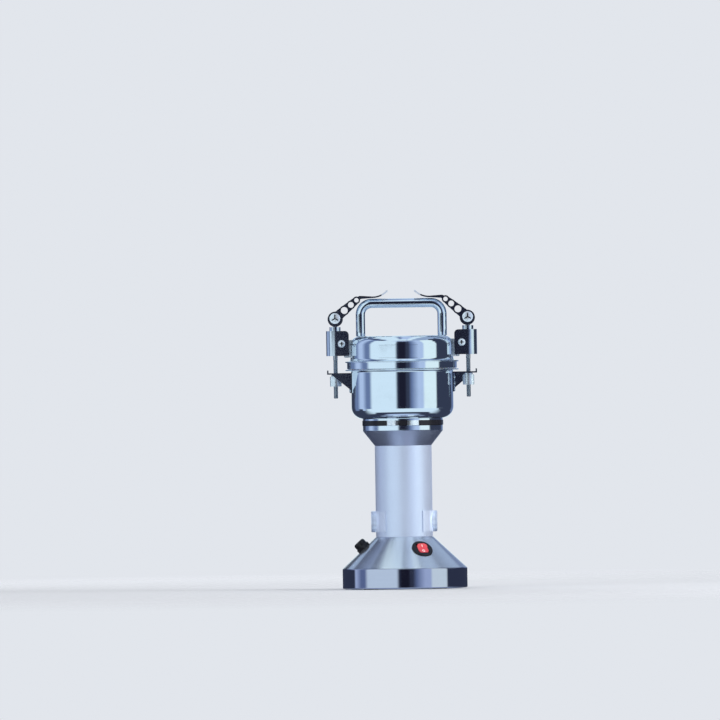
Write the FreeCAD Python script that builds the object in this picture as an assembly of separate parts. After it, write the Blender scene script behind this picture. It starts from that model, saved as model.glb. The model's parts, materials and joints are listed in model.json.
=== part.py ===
import FreeCAD, Part
import math
import os

# Electric spice grinder, millimetres. The origin is on the worktop under the middle of the
# base, +Z is up and the front, with the switch, faces -Y. Each function makes one named piece.

Vector = FreeCAD.Vector
ORIGIN = Vector(0, 0, 0)
X_AXIS = Vector(1, 0, 0)
Y_AXIS = Vector(0, 1, 0)
Z_AXIS = Vector(0, 0, 1)
os.makedirs("parts", exist_ok=True)

# Clearances
close_gap = 0.05
slide_gap = 0.06
play = 0.3
panel_gap = 0.2
thread_gap = 0.02

# Edge roundings, and how far cutters and joined shapes run past the surface they meet
fine_edge = 0.3
small_edge = 0.5
soft_edge = 0.7
cutter_margin = 2.0
weld_depth = 1.0

# Base: rubber feet, polished skirt, bottom plate and satin cone
foot_height = 2.5
foot_radius = 8.0
foot_stem_radius = 3.0
foot_barb_height = 2.0
foot_barb_lip = 0.9
foot_barb_taper = 0.4
skirt_radius = 67.0
skirt_height = 19.9
skirt_drop = 1.6
skirt_wall = 1.5
skirt_rim = 5.0
plate_thickness = 1.5
fixing_inset = 15.0
foot_azimuth = 45.0
fixing_azimuth = -22.5
vent_count = 10
vent_width = 3.4
vent_inner = 18.0
vent_length = 22.0
vent_corner_share = 0.9
cone_height = 33.4
cone_wall = 2.0
cone_foot_ledge = 0.4
cone_neck_ledge = 0.5
cone_lip_depth = 3.5
cone_spigot_height = 4.2

# Housing screws, M4 pan head
screw_radius = 2.0
screw_head_radius = 3.6
screw_head_height = 1.8
screw_boss_radius = 4.5
screw_grip = 12.0
pilot_extra = 1.0

# Switch on the cone, right of the front
switch_azimuth = -65.1
switch_height = 42.9
bezel_radius = 11.5
bezel_height = 2.2
bezel_edge = 1.0
switch_body_radius = 10.0
switch_body_depth = 16.0
rocker_radius = 7.4
rocker_half_width = 5.9
rocker_pivot_depth = 1.0
rocker_crest = 2.4
rocker_tilt = 8.0
terminal_width = 6.3
terminal_length = 8.0
terminal_thickness = 0.8
terminal_spacing = 9.0
terminal_hole_radius = 1.0
terminal_hole_inset = 3.0

# Cord inlet gland on the left of the cone
gland_azimuth = 180.0
gland_height = 44.0
gland_flats = 15.0
gland_hex_height = 4.0
gland_chamfer = 3.0
gland_dome_radius = 6.6
gland_dome_height = 6.0
gland_dome_edge = 2.4
gland_bore_radius = 3.6
gland_thread_radius = 5.9
gland_thread_length = 9.0
gland_nut_height = 3.5
seat_pad_margin = 2.0
seat_pad_depth = 3.0
seat_cut_height = 8.0

# Terminal block on the bottom plate
block_length = 30.0
block_width = 13.0
block_height = 11.0
block_y = 30.0
block_ways = 4
block_screw_radius = 2.0
block_screw_rise = 6.0
block_wire_rise = 3.9
wire_radius = 1.1
wire_slack = 0.4
lead_insertion = 2.0
lead_riser_x = 20.0
lead_first_rise = 14.0
lead_second_rise = 32.0
lead_bend = 5.5

# Motor column and brush gear
column_radius = 30.5
column_wall = 1.5
column_height = 98.2
brush_rise = 16.6
brush_boss_radius = 11.25
brush_pad_thickness = 1.0
brush_pad_angle = 50.0
brush_boss_end = 33.0
brush_cap_thickness = 2.5
brush_bore_radius = 6.9
brush_cap_stem = 5.5
cap_slot_width = 1.8
cap_slot_depth = 1.2
brush_width = 6.0
brush_depth = 8.0
brush_length = 12.0
holder_inner_gap = 0.4
brush_spring_radius = 2.3
brush_spring_wire = 0.35
brush_spring_turns = 5

# Motor
shaft_radius = 4.0
shaft_shoulder_radius = 5.0
bearing_radius = 11.0
bearing_width = 7.0
bearing_hub_wall = 2.5
bearing_seat_floor = 1.5
bearing_race = 2.0
bearing_shield_depth = 0.4
upper_bearing_drop = 2.0
shaft_hole_margin = 1.0
shaft_end_below = 1.0
bracket_thickness = 3.0
bracket_rim = 4.5
bracket_window_angle = 30.0
bracket_window_margin = 1.0
commutator_radius = 9.0
commutator_length = 13.8
commutator_bars = 24
commutator_riser = 1.5
riser_length = 1.8
bar_gap = 0.4
bar_gap_depth = 0.7
armature_radius = 16.2
air_gap = 0.8
armature_slots = 12
armature_slot_radius = 2.3
slot_bridge = 1.4
slot_mouth = 1.6
slot_filling_gap = 0.15
pole_shoe_thickness = 2.5
pole_shoe_angle = 58.0
pole_half_width = 8.0
yoke_thickness = 5.2
coil_end_angle = 2.0
end_turn_height = 6.0
armature_end_turn = 7.5
armature_turn_inset = 1.2
armature_turn_edge = 3.0
stator_rise = 19.6
stator_drop = 20.0
fan_radius = 24.0
fan_height = 8.0
fan_blades = 10
fan_disc_thickness = 1.2
fan_blade_thickness = 1.2
fan_hub_wall = 3.0
fan_rise = 3.0

# Funnel under the bowl and the joint stack above it
funnel_height = 16.0
funnel_spigot = 7.0
funnel_spigot_top = 1.5
funnel_rim = 4.8
funnel_step = 2.7
stack_radius = 43.0
stack_bore_radius = 14.0
flange_height = 5.7
ring_height = 5.3
ring_lip = 0.5
bowl_plate_height = 1.7
stud_radius = 3.0
stud_end_gap = 0.5
bowl_plate_bore = 13.0
stud_circle_inset = 6.3
stud_angle = 17.5
mount_nut_flats = 13.0
mount_nut_turn = 30.0
flange_screw_inset = 9.5
flange_screw_angle = 20.0

# Bowl
bowl_radius = 54.8
bowl_wall = 1.2
bowl_height = 53.3
bowl_corner = 13.0
lip_width = 6.2
lip_thickness = 1.4
lip_fillet = 2.0
bowl_rim_edge = 1.0
seal_neck_radius = 9.0
seal_collar_radius = 12.0
seal_collar_height = 4.0
seal_top_height = 2.2
seal_flange_radius = 11.0

# Blades
hub_radius = 9.0
blade_start = 6.8
blade_thickness = 2.2
blade_spacing = 6.0
blade_clearance = 3.6
blade_root_width = 17.0
blade_tip_width = 6.0
blade_sweep = 16.0
blade_bend_share = 0.55
blade_lead_share = 0.75
blade_trail_share = 0.72
blade_bevel_length = 9.0
blade_rim_share = 0.35
lower_blade_angle = 35.0
upper_blade_angle = 125.0
first_spacer_height = 3.0
spacer_radius = 8.0
upper_blade_reach = 33.0
upper_blade_width = 15.0
upper_blade_shoulder = 18.2
upper_blade_waist_share = 0.8
upper_blade_curve = 8.0
upper_blade_point = 0.6
blade_nut_flats = 13.0
blade_nut_height = 6.5
blade_nut_chamfer = 4.0
shaft_end_above_nut = 1.5

# Lid
lid_seat_gap = 0.5
lid_overhang = 0.5
lid_wall = 1.2
lid_band_overhang = 4.3
lid_band_height = 6.8
lid_flange_height = 1.5
lid_wall_fillet = 3.5
lid_height = 35.3
lid_shoulder = 9.7
lid_recess_inset = 18.3
lid_recess_depth = 0.8
lid_recess_slope = 1.2
lid_spigot_depth = 4.0
lid_spigot_wall = 1.0
gasket_width = 3.0
gasket_depth = 3.0
gasket_gap = 0.1
gasket_edge = 0.2

# Lid handle, a bent round bar
handle_bar_radius = 5.0
handle_inset = 6.45
handle_corner = 17.0
handle_height = 40.2
handle_screw_radius = 2.5
handle_screw_head = 4.5
handle_screw_head_height = 2.8
handle_screw_grip = 12.0

# Over-centre clamps, made for the right side and mirrored
clamp_reach = 16.5
rod_radius = 2.4
rod_tail = 27.2
block_plate = 2.0
block_outer_radius = 9.7
block_inner_reach = 14.6
block_size = 26.8
block_corner = 4.3
block_edge = 1.0
sleeve_inset = 1.0
pivot_offset = 6.8
pivot_rise = 19.2
block_below_pivot = 13.0
lug_half_width = 4.5
lug_tip_radius = 4.0
lug_root_depth = 15.0
lug_pad_half_width = 7.0
lug_pad_thickness = 2.0
lug_step = 1.5
lug_fillet = 1.0
lug_slot_room = 1.6
lug_side_room = 0.5
pivot_screw_radius = 2.0
pivot_head_radius = 4.0
pivot_head_height = 2.6
pivot_nut_flats = 7.0
pivot_nut_height = 2.8
pivot_screw_end = 0.6
saddle_radius = 6.0
barrel_rise = 27.3
barrel_radius = 5.7
barrel_half_length = 7.6
rod_past_axis = 2.3
spoke_count = 3
spoke_length = 4.1
spoke_width = 1.3
spoke_depth = 0.8
first_spoke_angle = 30.0
lever_half_width = 7.0
lever_rod_slot = 3.1
cam_radius = 8.2
cam_throw = 0.85
cam_angle = 25.0
cam_gap = 0.3
lever_arm_angle = 39.5
lever_holes = ((13.3, 3.7), (22.6, 3.1), (30.4, 2.4))
lever_rib = 1.6
lever_web_share = 0.95
lever_cam_inset = 2.4
lever_strip_root = 0.6
lever_root_thickness = 3.4
lever_strip_thickness = 1.6
lever_strip_gap = 0.75
lever_strip_inset = 4.8
lever_strip_length = 13.6
lever_curl_radius = 22.0
lever_curl_angle = 44.0
lever_bead_radius = 1.1
nut_radius = 6.2
nut_half_flat = 3.3
nut_height = 10.7
nut_collar_radius = 4.6
nut_collar_height = 1.7
nut_shelf_gap = 0.35
nut_ribs = 5
nut_rib_depth = 0.35
nut_rib_spacing = 12.0

# Fork brackets on the bowl
shelf_drop = 2.05
shelf_thickness = 1.5
shelf_half_width = 10.0
shelf_end = 9.2
shelf_lip_height = 3.0
fork_half_width = 3.8
fork_inner_gap = 0.5
shelf_root = 4.0
gusset_root = 3.0
back_plate_height = 20.0
gusset_height = 16.0
gusset_end = 4.7
rivet_radius = 1.2
rivet_head_radius = 1.9
rivet_head_height = 0.9
rivet_head_sink = 0.35
rivet_spacing = 6.5
rivet_half_spacing = 6.0
rivet_first_drop = 4.5
rivet_rows = 3

# Heights, stacked from the worktop up
plate_top = foot_height + plate_thickness
skirt_top = foot_height + skirt_height
cone_top = skirt_top + cone_height
column_top = cone_top + column_height
funnel_top = column_top + funnel_height
flange_top = funnel_top + flange_height
ring_top = flange_top + ring_height
bowl_bottom = ring_top + bowl_plate_height
bowl_floor = bowl_bottom + bowl_wall
bowl_top = bowl_bottom + bowl_height
lid_bottom = bowl_top + lid_seat_gap
lid_band_top = lid_bottom + lid_band_height
lid_flange_top = lid_band_top + lid_flange_height
lid_top = lid_bottom + lid_height
handle_top = lid_top + handle_height

# Radii and places that follow from the sizes above
skirt_inner = skirt_radius - skirt_wall
skirt_foot = foot_height - skirt_drop
fixing_circle = skirt_radius - fixing_inset
cone_foot = skirt_radius - cone_foot_ledge
cone_neck = column_radius + cone_neck_ledge
cone_tilt = math.atan2(cone_foot - cone_neck, cone_height)
column_inner = column_radius - column_wall
spigot_outer = column_inner - panel_gap
spigot_inner = spigot_outer - cone_wall
brush_height = cone_top + brush_rise
bracket_floor = cone_top + cone_spigot_height
lower_bearing_floor = bracket_floor + bracket_thickness - bearing_width
commutator_low = brush_height - commutator_length / 2
stator_low = brush_height + stator_rise
stator_high = column_top - stator_drop
stator_radius = column_inner - play
pole_bore = armature_radius + air_gap
yoke_inner = stator_radius - yoke_thickness
fan_low = stator_high + armature_end_turn + fan_rise
upper_disc_low = funnel_top - bracket_thickness
upper_bearing_top = upper_disc_low - upper_bearing_drop
funnel_rim_inner = stack_radius - funnel_rim
stud_circle = stack_radius - stud_circle_inset
flange_screw_circle = stack_radius - flange_screw_inset
bowl_inner = bowl_radius - bowl_wall
lip_radius = bowl_radius + lip_width
lid_radius = bowl_radius + lid_overhang
lid_band_radius = bowl_radius + lid_band_overhang
lid_recess_radius = lid_radius - lid_recess_inset
blade_floor = bowl_floor + blade_start
blade_reach = bowl_inner - blade_clearance
upper_blade_low = blade_floor + blade_thickness + blade_spacing
blade_nut_low = upper_blade_low + blade_thickness
shaft_top = blade_nut_low + blade_nut_height + shaft_end_above_nut
gasket_radius = (lid_band_radius + bowl_inner) / 2
handle_half_width = lid_radius - handle_inset
handle_leg_x = handle_half_width - handle_bar_radius
lid_ceiling = lid_top - lid_recess_depth - lid_wall
first_spacer_low = blade_floor - first_spacer_height
slot_centre = armature_radius - slot_bridge - armature_slot_radius
rod_x = bowl_radius + clamp_reach
pivot_x = rod_x - pivot_offset
pivot_z = lid_flange_top + pivot_rise
barrel_z = pivot_z + barrel_rise
block_low = pivot_z - block_below_pivot
block_high = block_low + block_size
cam_reach = cam_radius + cam_throw * math.cos(math.radians(cam_angle))
saddle_top = barrel_z - cam_reach - cam_gap
shelf_top = bowl_top - lip_thickness - shelf_drop
shelf_low = shelf_top - shelf_thickness
nut_top = shelf_low - nut_shelf_gap
nut_shoulder = nut_top - nut_collar_height
rod_low = shelf_top - rod_tail
back_plate_outer = bowl_radius + close_gap + shelf_thickness


# Shape helpers
def upright(across, height):
    return Vector(across, 0, height)


def level(across, along):
    return Vector(across, along, 0)


def rounded_edges(points, radii, closed):
    """Straight runs through the points, with a tangent arc at each point that has a radius."""
    stops = []
    count = len(points)
    for i, here in enumerate(points):
        radius = radii[i]
        at_end = not closed and i in (0, count - 1)
        if at_end or not radius:
            stops.append((here, None, here))
            continue
        back = (points[i - 1] - here).normalize()
        ahead = (points[(i + 1) % count] - here).normalize()
        half_turn = back.getAngle(ahead) / 2
        reach = radius / math.tan(half_turn)
        inward = (back + ahead).normalize()
        centre = here + inward * (radius / math.sin(half_turn))
        stops.append((here + back * reach, centre - inward * radius, here + ahead * reach))
    edges = []
    for i, (start, middle, end) in enumerate(stops):
        if middle is not None:
            edges.append(Part.Arc(start, middle, end).toShape())
        if closed or i < count - 1:
            following = stops[(i + 1) % count][0]
            if end.distanceToPoint(following) > 1e-6:
                edges.append(Part.LineSegment(end, following).toShape())
    return edges


def outline(corners, place):
    """Face bounded by corners given as (across, up) or (across, up, corner radius)."""
    points = [place(corner[0], corner[1]) for corner in corners]
    radii = [corner[2] if len(corner) > 2 else 0 for corner in corners]
    return Part.Face(Part.Wire(rounded_edges(points, radii, True)))


def turned(corners):
    return outline(corners, upright).revolve(ORIGIN, Z_AXIS, 360)


def slab_along_y(corners, low, high):
    face = outline(corners, upright)
    face.translate(Vector(0, low, 0))
    return face.extrude(Vector(0, high - low, 0))


def slab_along_z(corners, low, high):
    face = outline(corners, level)
    face.translate(Vector(0, 0, low))
    return face.extrude(Vector(0, 0, high - low))


def cylinder(radius, low, high, x=0, y=0):
    return Part.makeCylinder(radius, high - low, Vector(x, y, low))


def cylinder_along(axis, radius, start, length):
    return Part.makeCylinder(radius, length, start, axis)


def ring(outer, inner, low, high):
    return cylinder(outer, low, high).cut(cylinder(inner, low, high))


def centred_box(size_x, size_y, low, high, x=0, y=0):
    corner = Vector(x - size_x / 2, y - size_y / 2, low)
    return Part.makeBox(size_x, size_y, high - low, corner)


def arc_sector(outer, inner, half_angle, azimuth, low, high):
    """Part of a ring, half_angle degrees to each side of the azimuth."""
    whole = Part.makeCylinder(outer, high - low, Vector(0, 0, low), Z_AXIS, 2 * half_angle)
    piece = whole.cut(cylinder(inner, low, high))
    return spun(piece, azimuth - half_angle)


def hexagon(flats, low, high, x=0, y=0, turn=0):
    """Six-sided prism with flats facing the front and the back, unless it is turned."""
    corner = flats / math.sqrt(3)
    corners = []
    for i in range(6):
        angle = math.radians(60 * i + turn)
        corners.append((x + corner * math.cos(angle), y + corner * math.sin(angle)))
    return slab_along_z(corners, low, high)


def spun(shape, degrees):
    copy = shape.copy()
    copy.rotate(ORIGIN, Z_AXIS, degrees)
    return copy


def mirrored(shape):
    return shape.mirror(ORIGIN, X_AXIS)


def polar(radius, degrees, height=0):
    angle = math.radians(degrees)
    return Vector(radius * math.cos(angle), radius * math.sin(angle), height)


def moved(shape, offset):
    copy = shape.copy()
    copy.translate(offset)
    return copy


def fused(shapes):
    return shapes[0].multiFuse(shapes[1:]).removeSplitter()


def group(shapes):
    return Part.makeCompound(shapes)


def cross_recess(half_length, half_width, depth):
    """Two crossed slots below the plane z = 0, for a cross-head screw."""
    first = centred_box(2 * half_length, 2 * half_width, -depth, 0)
    return first.fuse(spun(first, 90))


# Places on the cone
def cone_radius_at(height):
    return cone_foot - (height - skirt_top) * math.tan(cone_tilt)


def cone_seat_depth(height, seat_radius):
    """How far a flat seat of this radius lies below the cone's surface at its middle."""
    bend = cone_radius_at(height) / math.cos(cone_tilt)
    return seat_radius ** 2 / (2 * bend) + close_gap


def on_cone(shape, height, azimuth, seat_radius):
    """Places a shape built with +Z outwards and +Y up the slope on its flat seat."""
    outward = polar(1, azimuth)
    normal = outward * math.cos(cone_tilt) + Z_AXIS * math.sin(cone_tilt)
    up_slope = Z_AXIS * math.cos(cone_tilt) - outward * math.sin(cone_tilt)
    side = up_slope.cross(normal)
    seat = outward * cone_radius_at(height) + Z_AXIS * height
    seat = seat - normal * cone_seat_depth(height, seat_radius)
    frame = FreeCAD.Matrix(
        side.x, up_slope.x, normal.x, seat.x,
        side.y, up_slope.y, normal.y, seat.y,
        side.z, up_slope.z, normal.z, seat.z,
        0, 0, 0, 1)
    copy = shape.copy()
    copy.Placement = FreeCAD.Placement(frame)
    return copy


def at_switch(shape):
    return on_cone(shape, switch_height, switch_azimuth, bezel_radius)


def at_gland(shape):
    return on_cone(shape, gland_height, gland_azimuth, gland_flats / math.sqrt(3))


# Base
def make_base_skirt():
    lip_inner = skirt_inner - skirt_rim
    flange_low = skirt_top - skirt_wall
    return turned([
        (skirt_radius, skirt_foot, soft_edge),
        (skirt_radius, skirt_top, soft_edge),
        (lip_inner, skirt_top),
        (lip_inner, flange_low),
        (skirt_inner, flange_low),
        (skirt_inner, plate_top + skirt_wall),
        (lip_inner, plate_top + skirt_wall),
        (lip_inner, plate_top),
        (skirt_inner, plate_top),
        (skirt_inner, skirt_foot),
    ])


def fixing_points(first_azimuth):
    return [polar(fixing_circle, first_azimuth + 90 * i) for i in range(4)]


def make_base_plate():
    plate = cylinder(skirt_inner - panel_gap, foot_height, plate_top)
    cuts = []
    for point in fixing_points(foot_azimuth):
        cuts.append(cylinder(foot_stem_radius + close_gap, foot_height, plate_top,
                             point.x, point.y))
    for point in fixing_points(fixing_azimuth):
        cuts.append(cylinder(screw_radius + panel_gap, foot_height, plate_top,
                             point.x, point.y))
    for i in range(vent_count):
        half = vent_width / 2
        corner = half * vent_corner_share
        slot = slab_along_z([
            (vent_inner, -half, corner),
            (vent_inner + vent_length, -half, corner),
            (vent_inner + vent_length, half, corner),
            (vent_inner, half, corner),
        ], foot_height, plate_top)
        cuts.append(spun(slot, 360 * (i + 0.5) / vent_count))
    return plate.cut(group(cuts))


def make_rubber_feet():
    barb_top = plate_top + foot_barb_height
    foot = turned([
        (0, 0),
        (foot_radius, 0, soft_edge),
        (foot_radius, foot_height, small_edge),
        (foot_stem_radius, foot_height),
        (foot_stem_radius, plate_top),
        (foot_stem_radius + foot_barb_lip, plate_top),
        (foot_stem_radius - foot_barb_taper, barb_top),
        (0, barb_top),
    ])
    return group([moved(foot, point) for point in fixing_points(foot_azimuth)])


def pan_screw(radius, head_radius, head_height, length):
    """Screw with its head above the plane z = 0 and its shank below."""
    point_radius = radius * 0.7
    point_length = radius * 0.5
    crown = head_height * 0.6
    recess_reach = head_radius * 0.55
    recess_half_width = head_radius * 0.13
    screw = turned([
        (0, -length),
        (point_radius, -length),
        (radius, -length + point_length),
        (radius, 0),
        (head_radius, 0),
        (head_radius, head_height, crown),
        (0, head_height),
    ])
    recess = cross_recess(recess_reach, recess_half_width, crown)
    return screw.cut(moved(recess, Vector(0, 0, head_height)))


def upended(shape):
    copy = shape.copy()
    copy.rotate(ORIGIN, X_AXIS, 180)
    return copy


def flange_screw_points():
    azimuths = (flange_screw_angle, 180 - flange_screw_angle)
    points = [polar(flange_screw_circle, azimuth) for azimuth in azimuths]
    return points + [Vector(-point.x, -point.y, 0) for point in points]


def make_housing_screws():
    screw = pan_screw(screw_radius, screw_head_radius, screw_head_height, screw_grip)
    screws = []
    for point in fixing_points(fixing_azimuth):
        screws.append(moved(upended(screw), point + Vector(0, 0, foot_height)))
    for point in flange_screw_points():
        screws.append(moved(screw, point + Vector(0, 0, flange_top - screw_head_height)))
    return group(screws)


def cone_body(surface_drop):
    """Everything under the cone's outer surface, lowered by surface_drop across its slope."""
    inset = surface_drop / math.cos(cone_tilt)
    return turned([
        (0, plate_top),
        (cone_foot - inset, plate_top),
        (cone_foot - inset, skirt_top),
        (cone_neck - inset, cone_top),
        (0, cone_top),
    ])


def make_base_cone():
    inset = cone_wall / math.cos(cone_tilt)
    lip_outer = skirt_inner - skirt_rim - panel_gap
    lip_inner = lip_outer - cone_wall
    inner_top = skirt_top + (cone_foot - inset - spigot_inner) / math.tan(cone_tilt)
    shell = turned([
        (cone_foot, skirt_top),
        (cone_neck, cone_top, fine_edge),
        (spigot_outer, cone_top),
        (spigot_outer, bracket_floor),
        (spigot_inner, bracket_floor),
        (spigot_inner, inner_top),
        (cone_foot - inset, skirt_top),
        (lip_inner, skirt_top),
        (lip_inner, skirt_top - cone_lip_depth),
        (lip_outer, skirt_top - cone_lip_depth),
        (lip_outer, skirt_top),
    ])
    solids = [shell]
    under_surface = cone_body(0)
    for point in fixing_points(fixing_azimuth):
        boss = cylinder(screw_boss_radius, plate_top, cone_top, point.x, point.y)
        solids.append(boss.common(cone_body(cone_wall / 2)))
    pads = (
        at_switch(cylinder(bezel_radius + seat_pad_margin, -seat_pad_depth, 0)),
        at_gland(cylinder(gland_flats / math.sqrt(3) + seat_pad_margin, -seat_pad_depth, 0)),
    )
    for pad in pads:
        solids.append(pad.common(under_surface))
    cone = fused(solids)
    reach = seat_cut_height
    cuts = [
        at_switch(cylinder(bezel_radius + panel_gap, 0, reach)),
        at_switch(cylinder(switch_body_radius + 2 * close_gap, -reach, reach)),
        at_gland(cylinder(gland_flats / math.sqrt(3) + panel_gap, 0, reach)),
        at_gland(cylinder(gland_thread_radius + panel_gap, -reach, reach)),
    ]
    for point in fixing_points(fixing_azimuth):
        pilot_top = foot_height + screw_grip + pilot_extra
        cuts.append(cylinder(screw_radius + close_gap, plate_top, pilot_top, point.x, point.y))
    return cone.cut(group(cuts))


# Switch: a round bezel with a rocker that turns about a level pin
def rocker_drum(radius, half_width):
    start = Vector(-half_width, 0, -rocker_pivot_depth)
    return cylinder_along(X_AXIS, radius, start, 2 * half_width)


def make_switch_housing():
    body = turned([
        (0, -switch_body_depth),
        (switch_body_radius, -switch_body_depth),
        (switch_body_radius, 0),
        (bezel_radius, 0),
        (bezel_radius, bezel_height, bezel_edge),
        (0, bezel_height),
    ])
    pocket = rocker_drum(rocker_radius + panel_gap, rocker_half_width + panel_gap)
    return at_switch(body.cut(pocket))


def make_switch_rocker():
    reach = rocker_radius + cutter_margin
    rise = reach * math.tan(math.radians(rocker_tilt))
    profile = [
        Vector(0, -reach, -reach - rocker_pivot_depth),
        Vector(0, reach, -reach - rocker_pivot_depth),
        Vector(0, reach, rocker_crest + rise),
        Vector(0, 0, rocker_crest),
        Vector(0, -reach, rocker_crest + rise),
    ]
    keep = Part.Face(Part.makePolygon(profile + profile[:1]))
    keep.translate(Vector(-rocker_half_width, 0, 0))
    keep = keep.extrude(Vector(2 * rocker_half_width, 0, 0))
    rocker = rocker_drum(rocker_radius, rocker_half_width).common(keep)
    rocker.rotate(Vector(0, 0, -rocker_pivot_depth), X_AXIS, rocker_tilt)
    return at_switch(rocker)


def make_switch_terminals():
    blades = []
    for side in (-1, 1):
        low = -switch_body_depth - terminal_length
        blade = centred_box(terminal_width, terminal_thickness, low, -switch_body_depth,
                            0, side * terminal_spacing / 2)
        start = Vector(0, -switch_body_radius, low + terminal_hole_inset)
        hole = cylinder_along(Y_AXIS, terminal_hole_radius, start, 2 * switch_body_radius)
        blades.append(at_switch(blade.cut(hole)))
    return group(blades)


# Cord inlet: gland, dome and locknut with a free bore for a cord
def make_cord_gland():
    dome_top = gland_hex_height + gland_dome_height
    barrel = turned([
        (gland_bore_radius, -gland_thread_length),
        (gland_thread_radius, -gland_thread_length),
        (gland_thread_radius, 0),
        (gland_dome_radius, 0),
        (gland_dome_radius, dome_top, gland_dome_edge),
        (gland_bore_radius, dome_top),
    ])
    collar = hexagon(gland_flats, 0, gland_hex_height)
    collar = collar.common(Part.makeCone(gland_flats / 2 + gland_chamfer, gland_flats / 2,
                                         gland_hex_height))
    collar = collar.cut(cylinder(gland_bore_radius, 0, gland_hex_height))
    return at_gland(barrel.fuse(collar).removeSplitter())


def make_gland_locknut():
    nut = hexagon(gland_flats, -seat_pad_depth - gland_nut_height, -seat_pad_depth)
    bore = cylinder(gland_thread_radius + close_gap, -seat_pad_depth - gland_nut_height,
                    -seat_pad_depth)
    return at_gland(nut.cut(bore))


def block_way_x(way):
    pitch = block_length / block_ways
    return (way - (block_ways - 1) / 2) * pitch


def make_terminal_block():
    top = plate_top + block_height
    block = centred_box(block_length, block_width, plate_top, top, 0, block_y)
    cuts = []
    for way in range(block_ways):
        x = block_way_x(way)
        cuts.append(cylinder(block_screw_radius, plate_top + block_screw_rise, top, x, block_y))
        start = Vector(x, block_y - block_width, plate_top + block_wire_rise)
        cuts.append(cylinder_along(Y_AXIS, wire_radius + wire_slack, start, 2 * block_width))
    return block.cut(group(cuts))


def wire_along(points, bend):
    path = Part.Wire(rounded_edges(points, [bend] * len(points), False))
    heading = (points[1] - points[0]).normalize()
    profile = Part.Wire(Part.makeCircle(wire_radius, points[0], heading))
    return path.makePipeShell([profile], True, True)


def make_lead_wires():
    """Two leads from the terminal block up to the brush holders, inside the housing."""
    wires = []
    wire_z = plate_top + block_wire_rise
    holder_low = brush_height - (brush_bore_radius - play) - close_gap
    for side in (-1, 1):
        way = 0 if side < 0 else block_ways - 1
        riser = side * lead_riser_x
        points = [
            Vector(block_way_x(way), block_y - block_width / 2 + lead_insertion, wire_z),
            Vector(block_way_x(way), block_y - block_width, wire_z),
            Vector(riser, block_width / 2, wire_z + lead_first_rise),
            Vector(riser, 0, wire_z + lead_second_rise),
            Vector(riser, 0, holder_low),
        ]
        wires.append(wire_along(points, lead_bend))
    return group(wires)


# Motor column and brush gear
def make_motor_column():
    column = ring(column_radius, column_inner, cone_top, column_top)
    start = Vector(-2 * column_radius, 0, brush_height)
    return column.cut(cylinder_along(X_AXIS, brush_bore_radius, start, 4 * column_radius))


def make_brush_bosses():
    low = brush_height - brush_boss_radius
    high = brush_height + brush_boss_radius
    seat = column_radius + close_gap
    pad = arc_sector(seat + brush_pad_thickness, seat, brush_pad_angle, 0, low, high)
    start = Vector(0, 0, brush_height)
    boss = cylinder_along(X_AXIS, brush_boss_radius, start, brush_boss_end)
    boss = boss.cut(cylinder(seat, low, high))
    bore = cylinder_along(X_AXIS, brush_bore_radius, start, 2 * column_radius)
    right = pad.fuse(boss).removeSplitter().cut(bore)
    return group([right, spun(right, 180)])


def cap_stem_end():
    return brush_boss_end - brush_cap_stem


def make_brush_caps():
    outer_end = brush_boss_end + brush_cap_thickness
    cap = turned([
        (0, cap_stem_end()),
        (brush_bore_radius - slide_gap, cap_stem_end()),
        (brush_bore_radius - slide_gap, brush_boss_end),
        (brush_boss_radius, brush_boss_end),
        (brush_boss_radius, outer_end, 0.9),
        (0, outer_end),
    ])
    slot = centred_box(brush_boss_radius * 1.4, cap_slot_width, outer_end - cap_slot_depth,
                       outer_end)
    cap = cap.cut(slot)
    cap.rotate(ORIGIN, Y_AXIS, 90)
    cap.translate(Vector(0, 0, brush_height))
    return group([cap, spun(cap, 180)])


def holder_inner_end():
    return commutator_radius + commutator_riser + holder_inner_gap


def make_brush_holders():
    start = Vector(holder_inner_end(), 0, brush_height)
    length = cap_stem_end() - play - holder_inner_end()
    sleeve = cylinder_along(X_AXIS, brush_bore_radius - play, start, length)
    width = brush_width + panel_gap
    depth = brush_depth + panel_gap
    channel = Part.makeBox(length, width, depth, start - Vector(0, width / 2, depth / 2))
    right = sleeve.cut(channel)
    return group([right, spun(right, 180)])


def brush_rear():
    return commutator_radius + brush_length


def make_carbon_brushes():
    face = commutator_radius - cutter_margin
    corner = Vector(face, -brush_width / 2, brush_height - brush_depth / 2)
    block = Part.makeBox(brush_rear() - face, brush_width, brush_depth, corner)
    contact = cylinder(commutator_radius + close_gap, commutator_low,
                       commutator_low + commutator_length)
    right = block.cut(contact)
    return group([right, spun(right, 180)])


def arc_from(start, heading, end):
    """Arc from start to end that leaves start along heading."""
    chord = end - start
    along = Vector(chord).normalize()
    bulge = (heading - along * heading.dot(along)).normalize()
    half_turn = heading.getAngle(along)
    middle = start + chord * 0.5 + bulge * (chord.Length / 2 * math.tan(half_turn / 2))
    return Part.Arc(start, middle, end).toShape()


def helix_path(radius, pitch, turns):
    """Helix about Z as two tangent arcs for each quarter turn."""
    def place(quarter):
        angle = quarter * math.pi / 2
        return Vector(radius * math.cos(angle), radius * math.sin(angle), pitch * quarter / 4)

    def heading(quarter):
        angle = quarter * math.pi / 2
        climb = pitch / (2 * math.pi * radius)
        return Vector(-math.sin(angle), math.cos(angle), climb).normalize()

    edges = []
    for quarter in range(4 * turns):
        start = place(quarter)
        end = place(quarter + 1)
        first = heading(quarter)
        last = heading(quarter + 1)
        span = end - start
        lean = span.dot(first + last)
        spread = 2 * (1 - first.dot(last))
        arm = (math.sqrt(lean ** 2 + spread * span.dot(span)) - lean) / spread
        meeting = (start + first * arm + end - last * arm) * 0.5
        edges.append(arc_from(start, first, meeting))
        edges.append(arc_from(end, last * -1, meeting))
    return Part.Wire(Part.__sortEdges__(edges))


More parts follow.
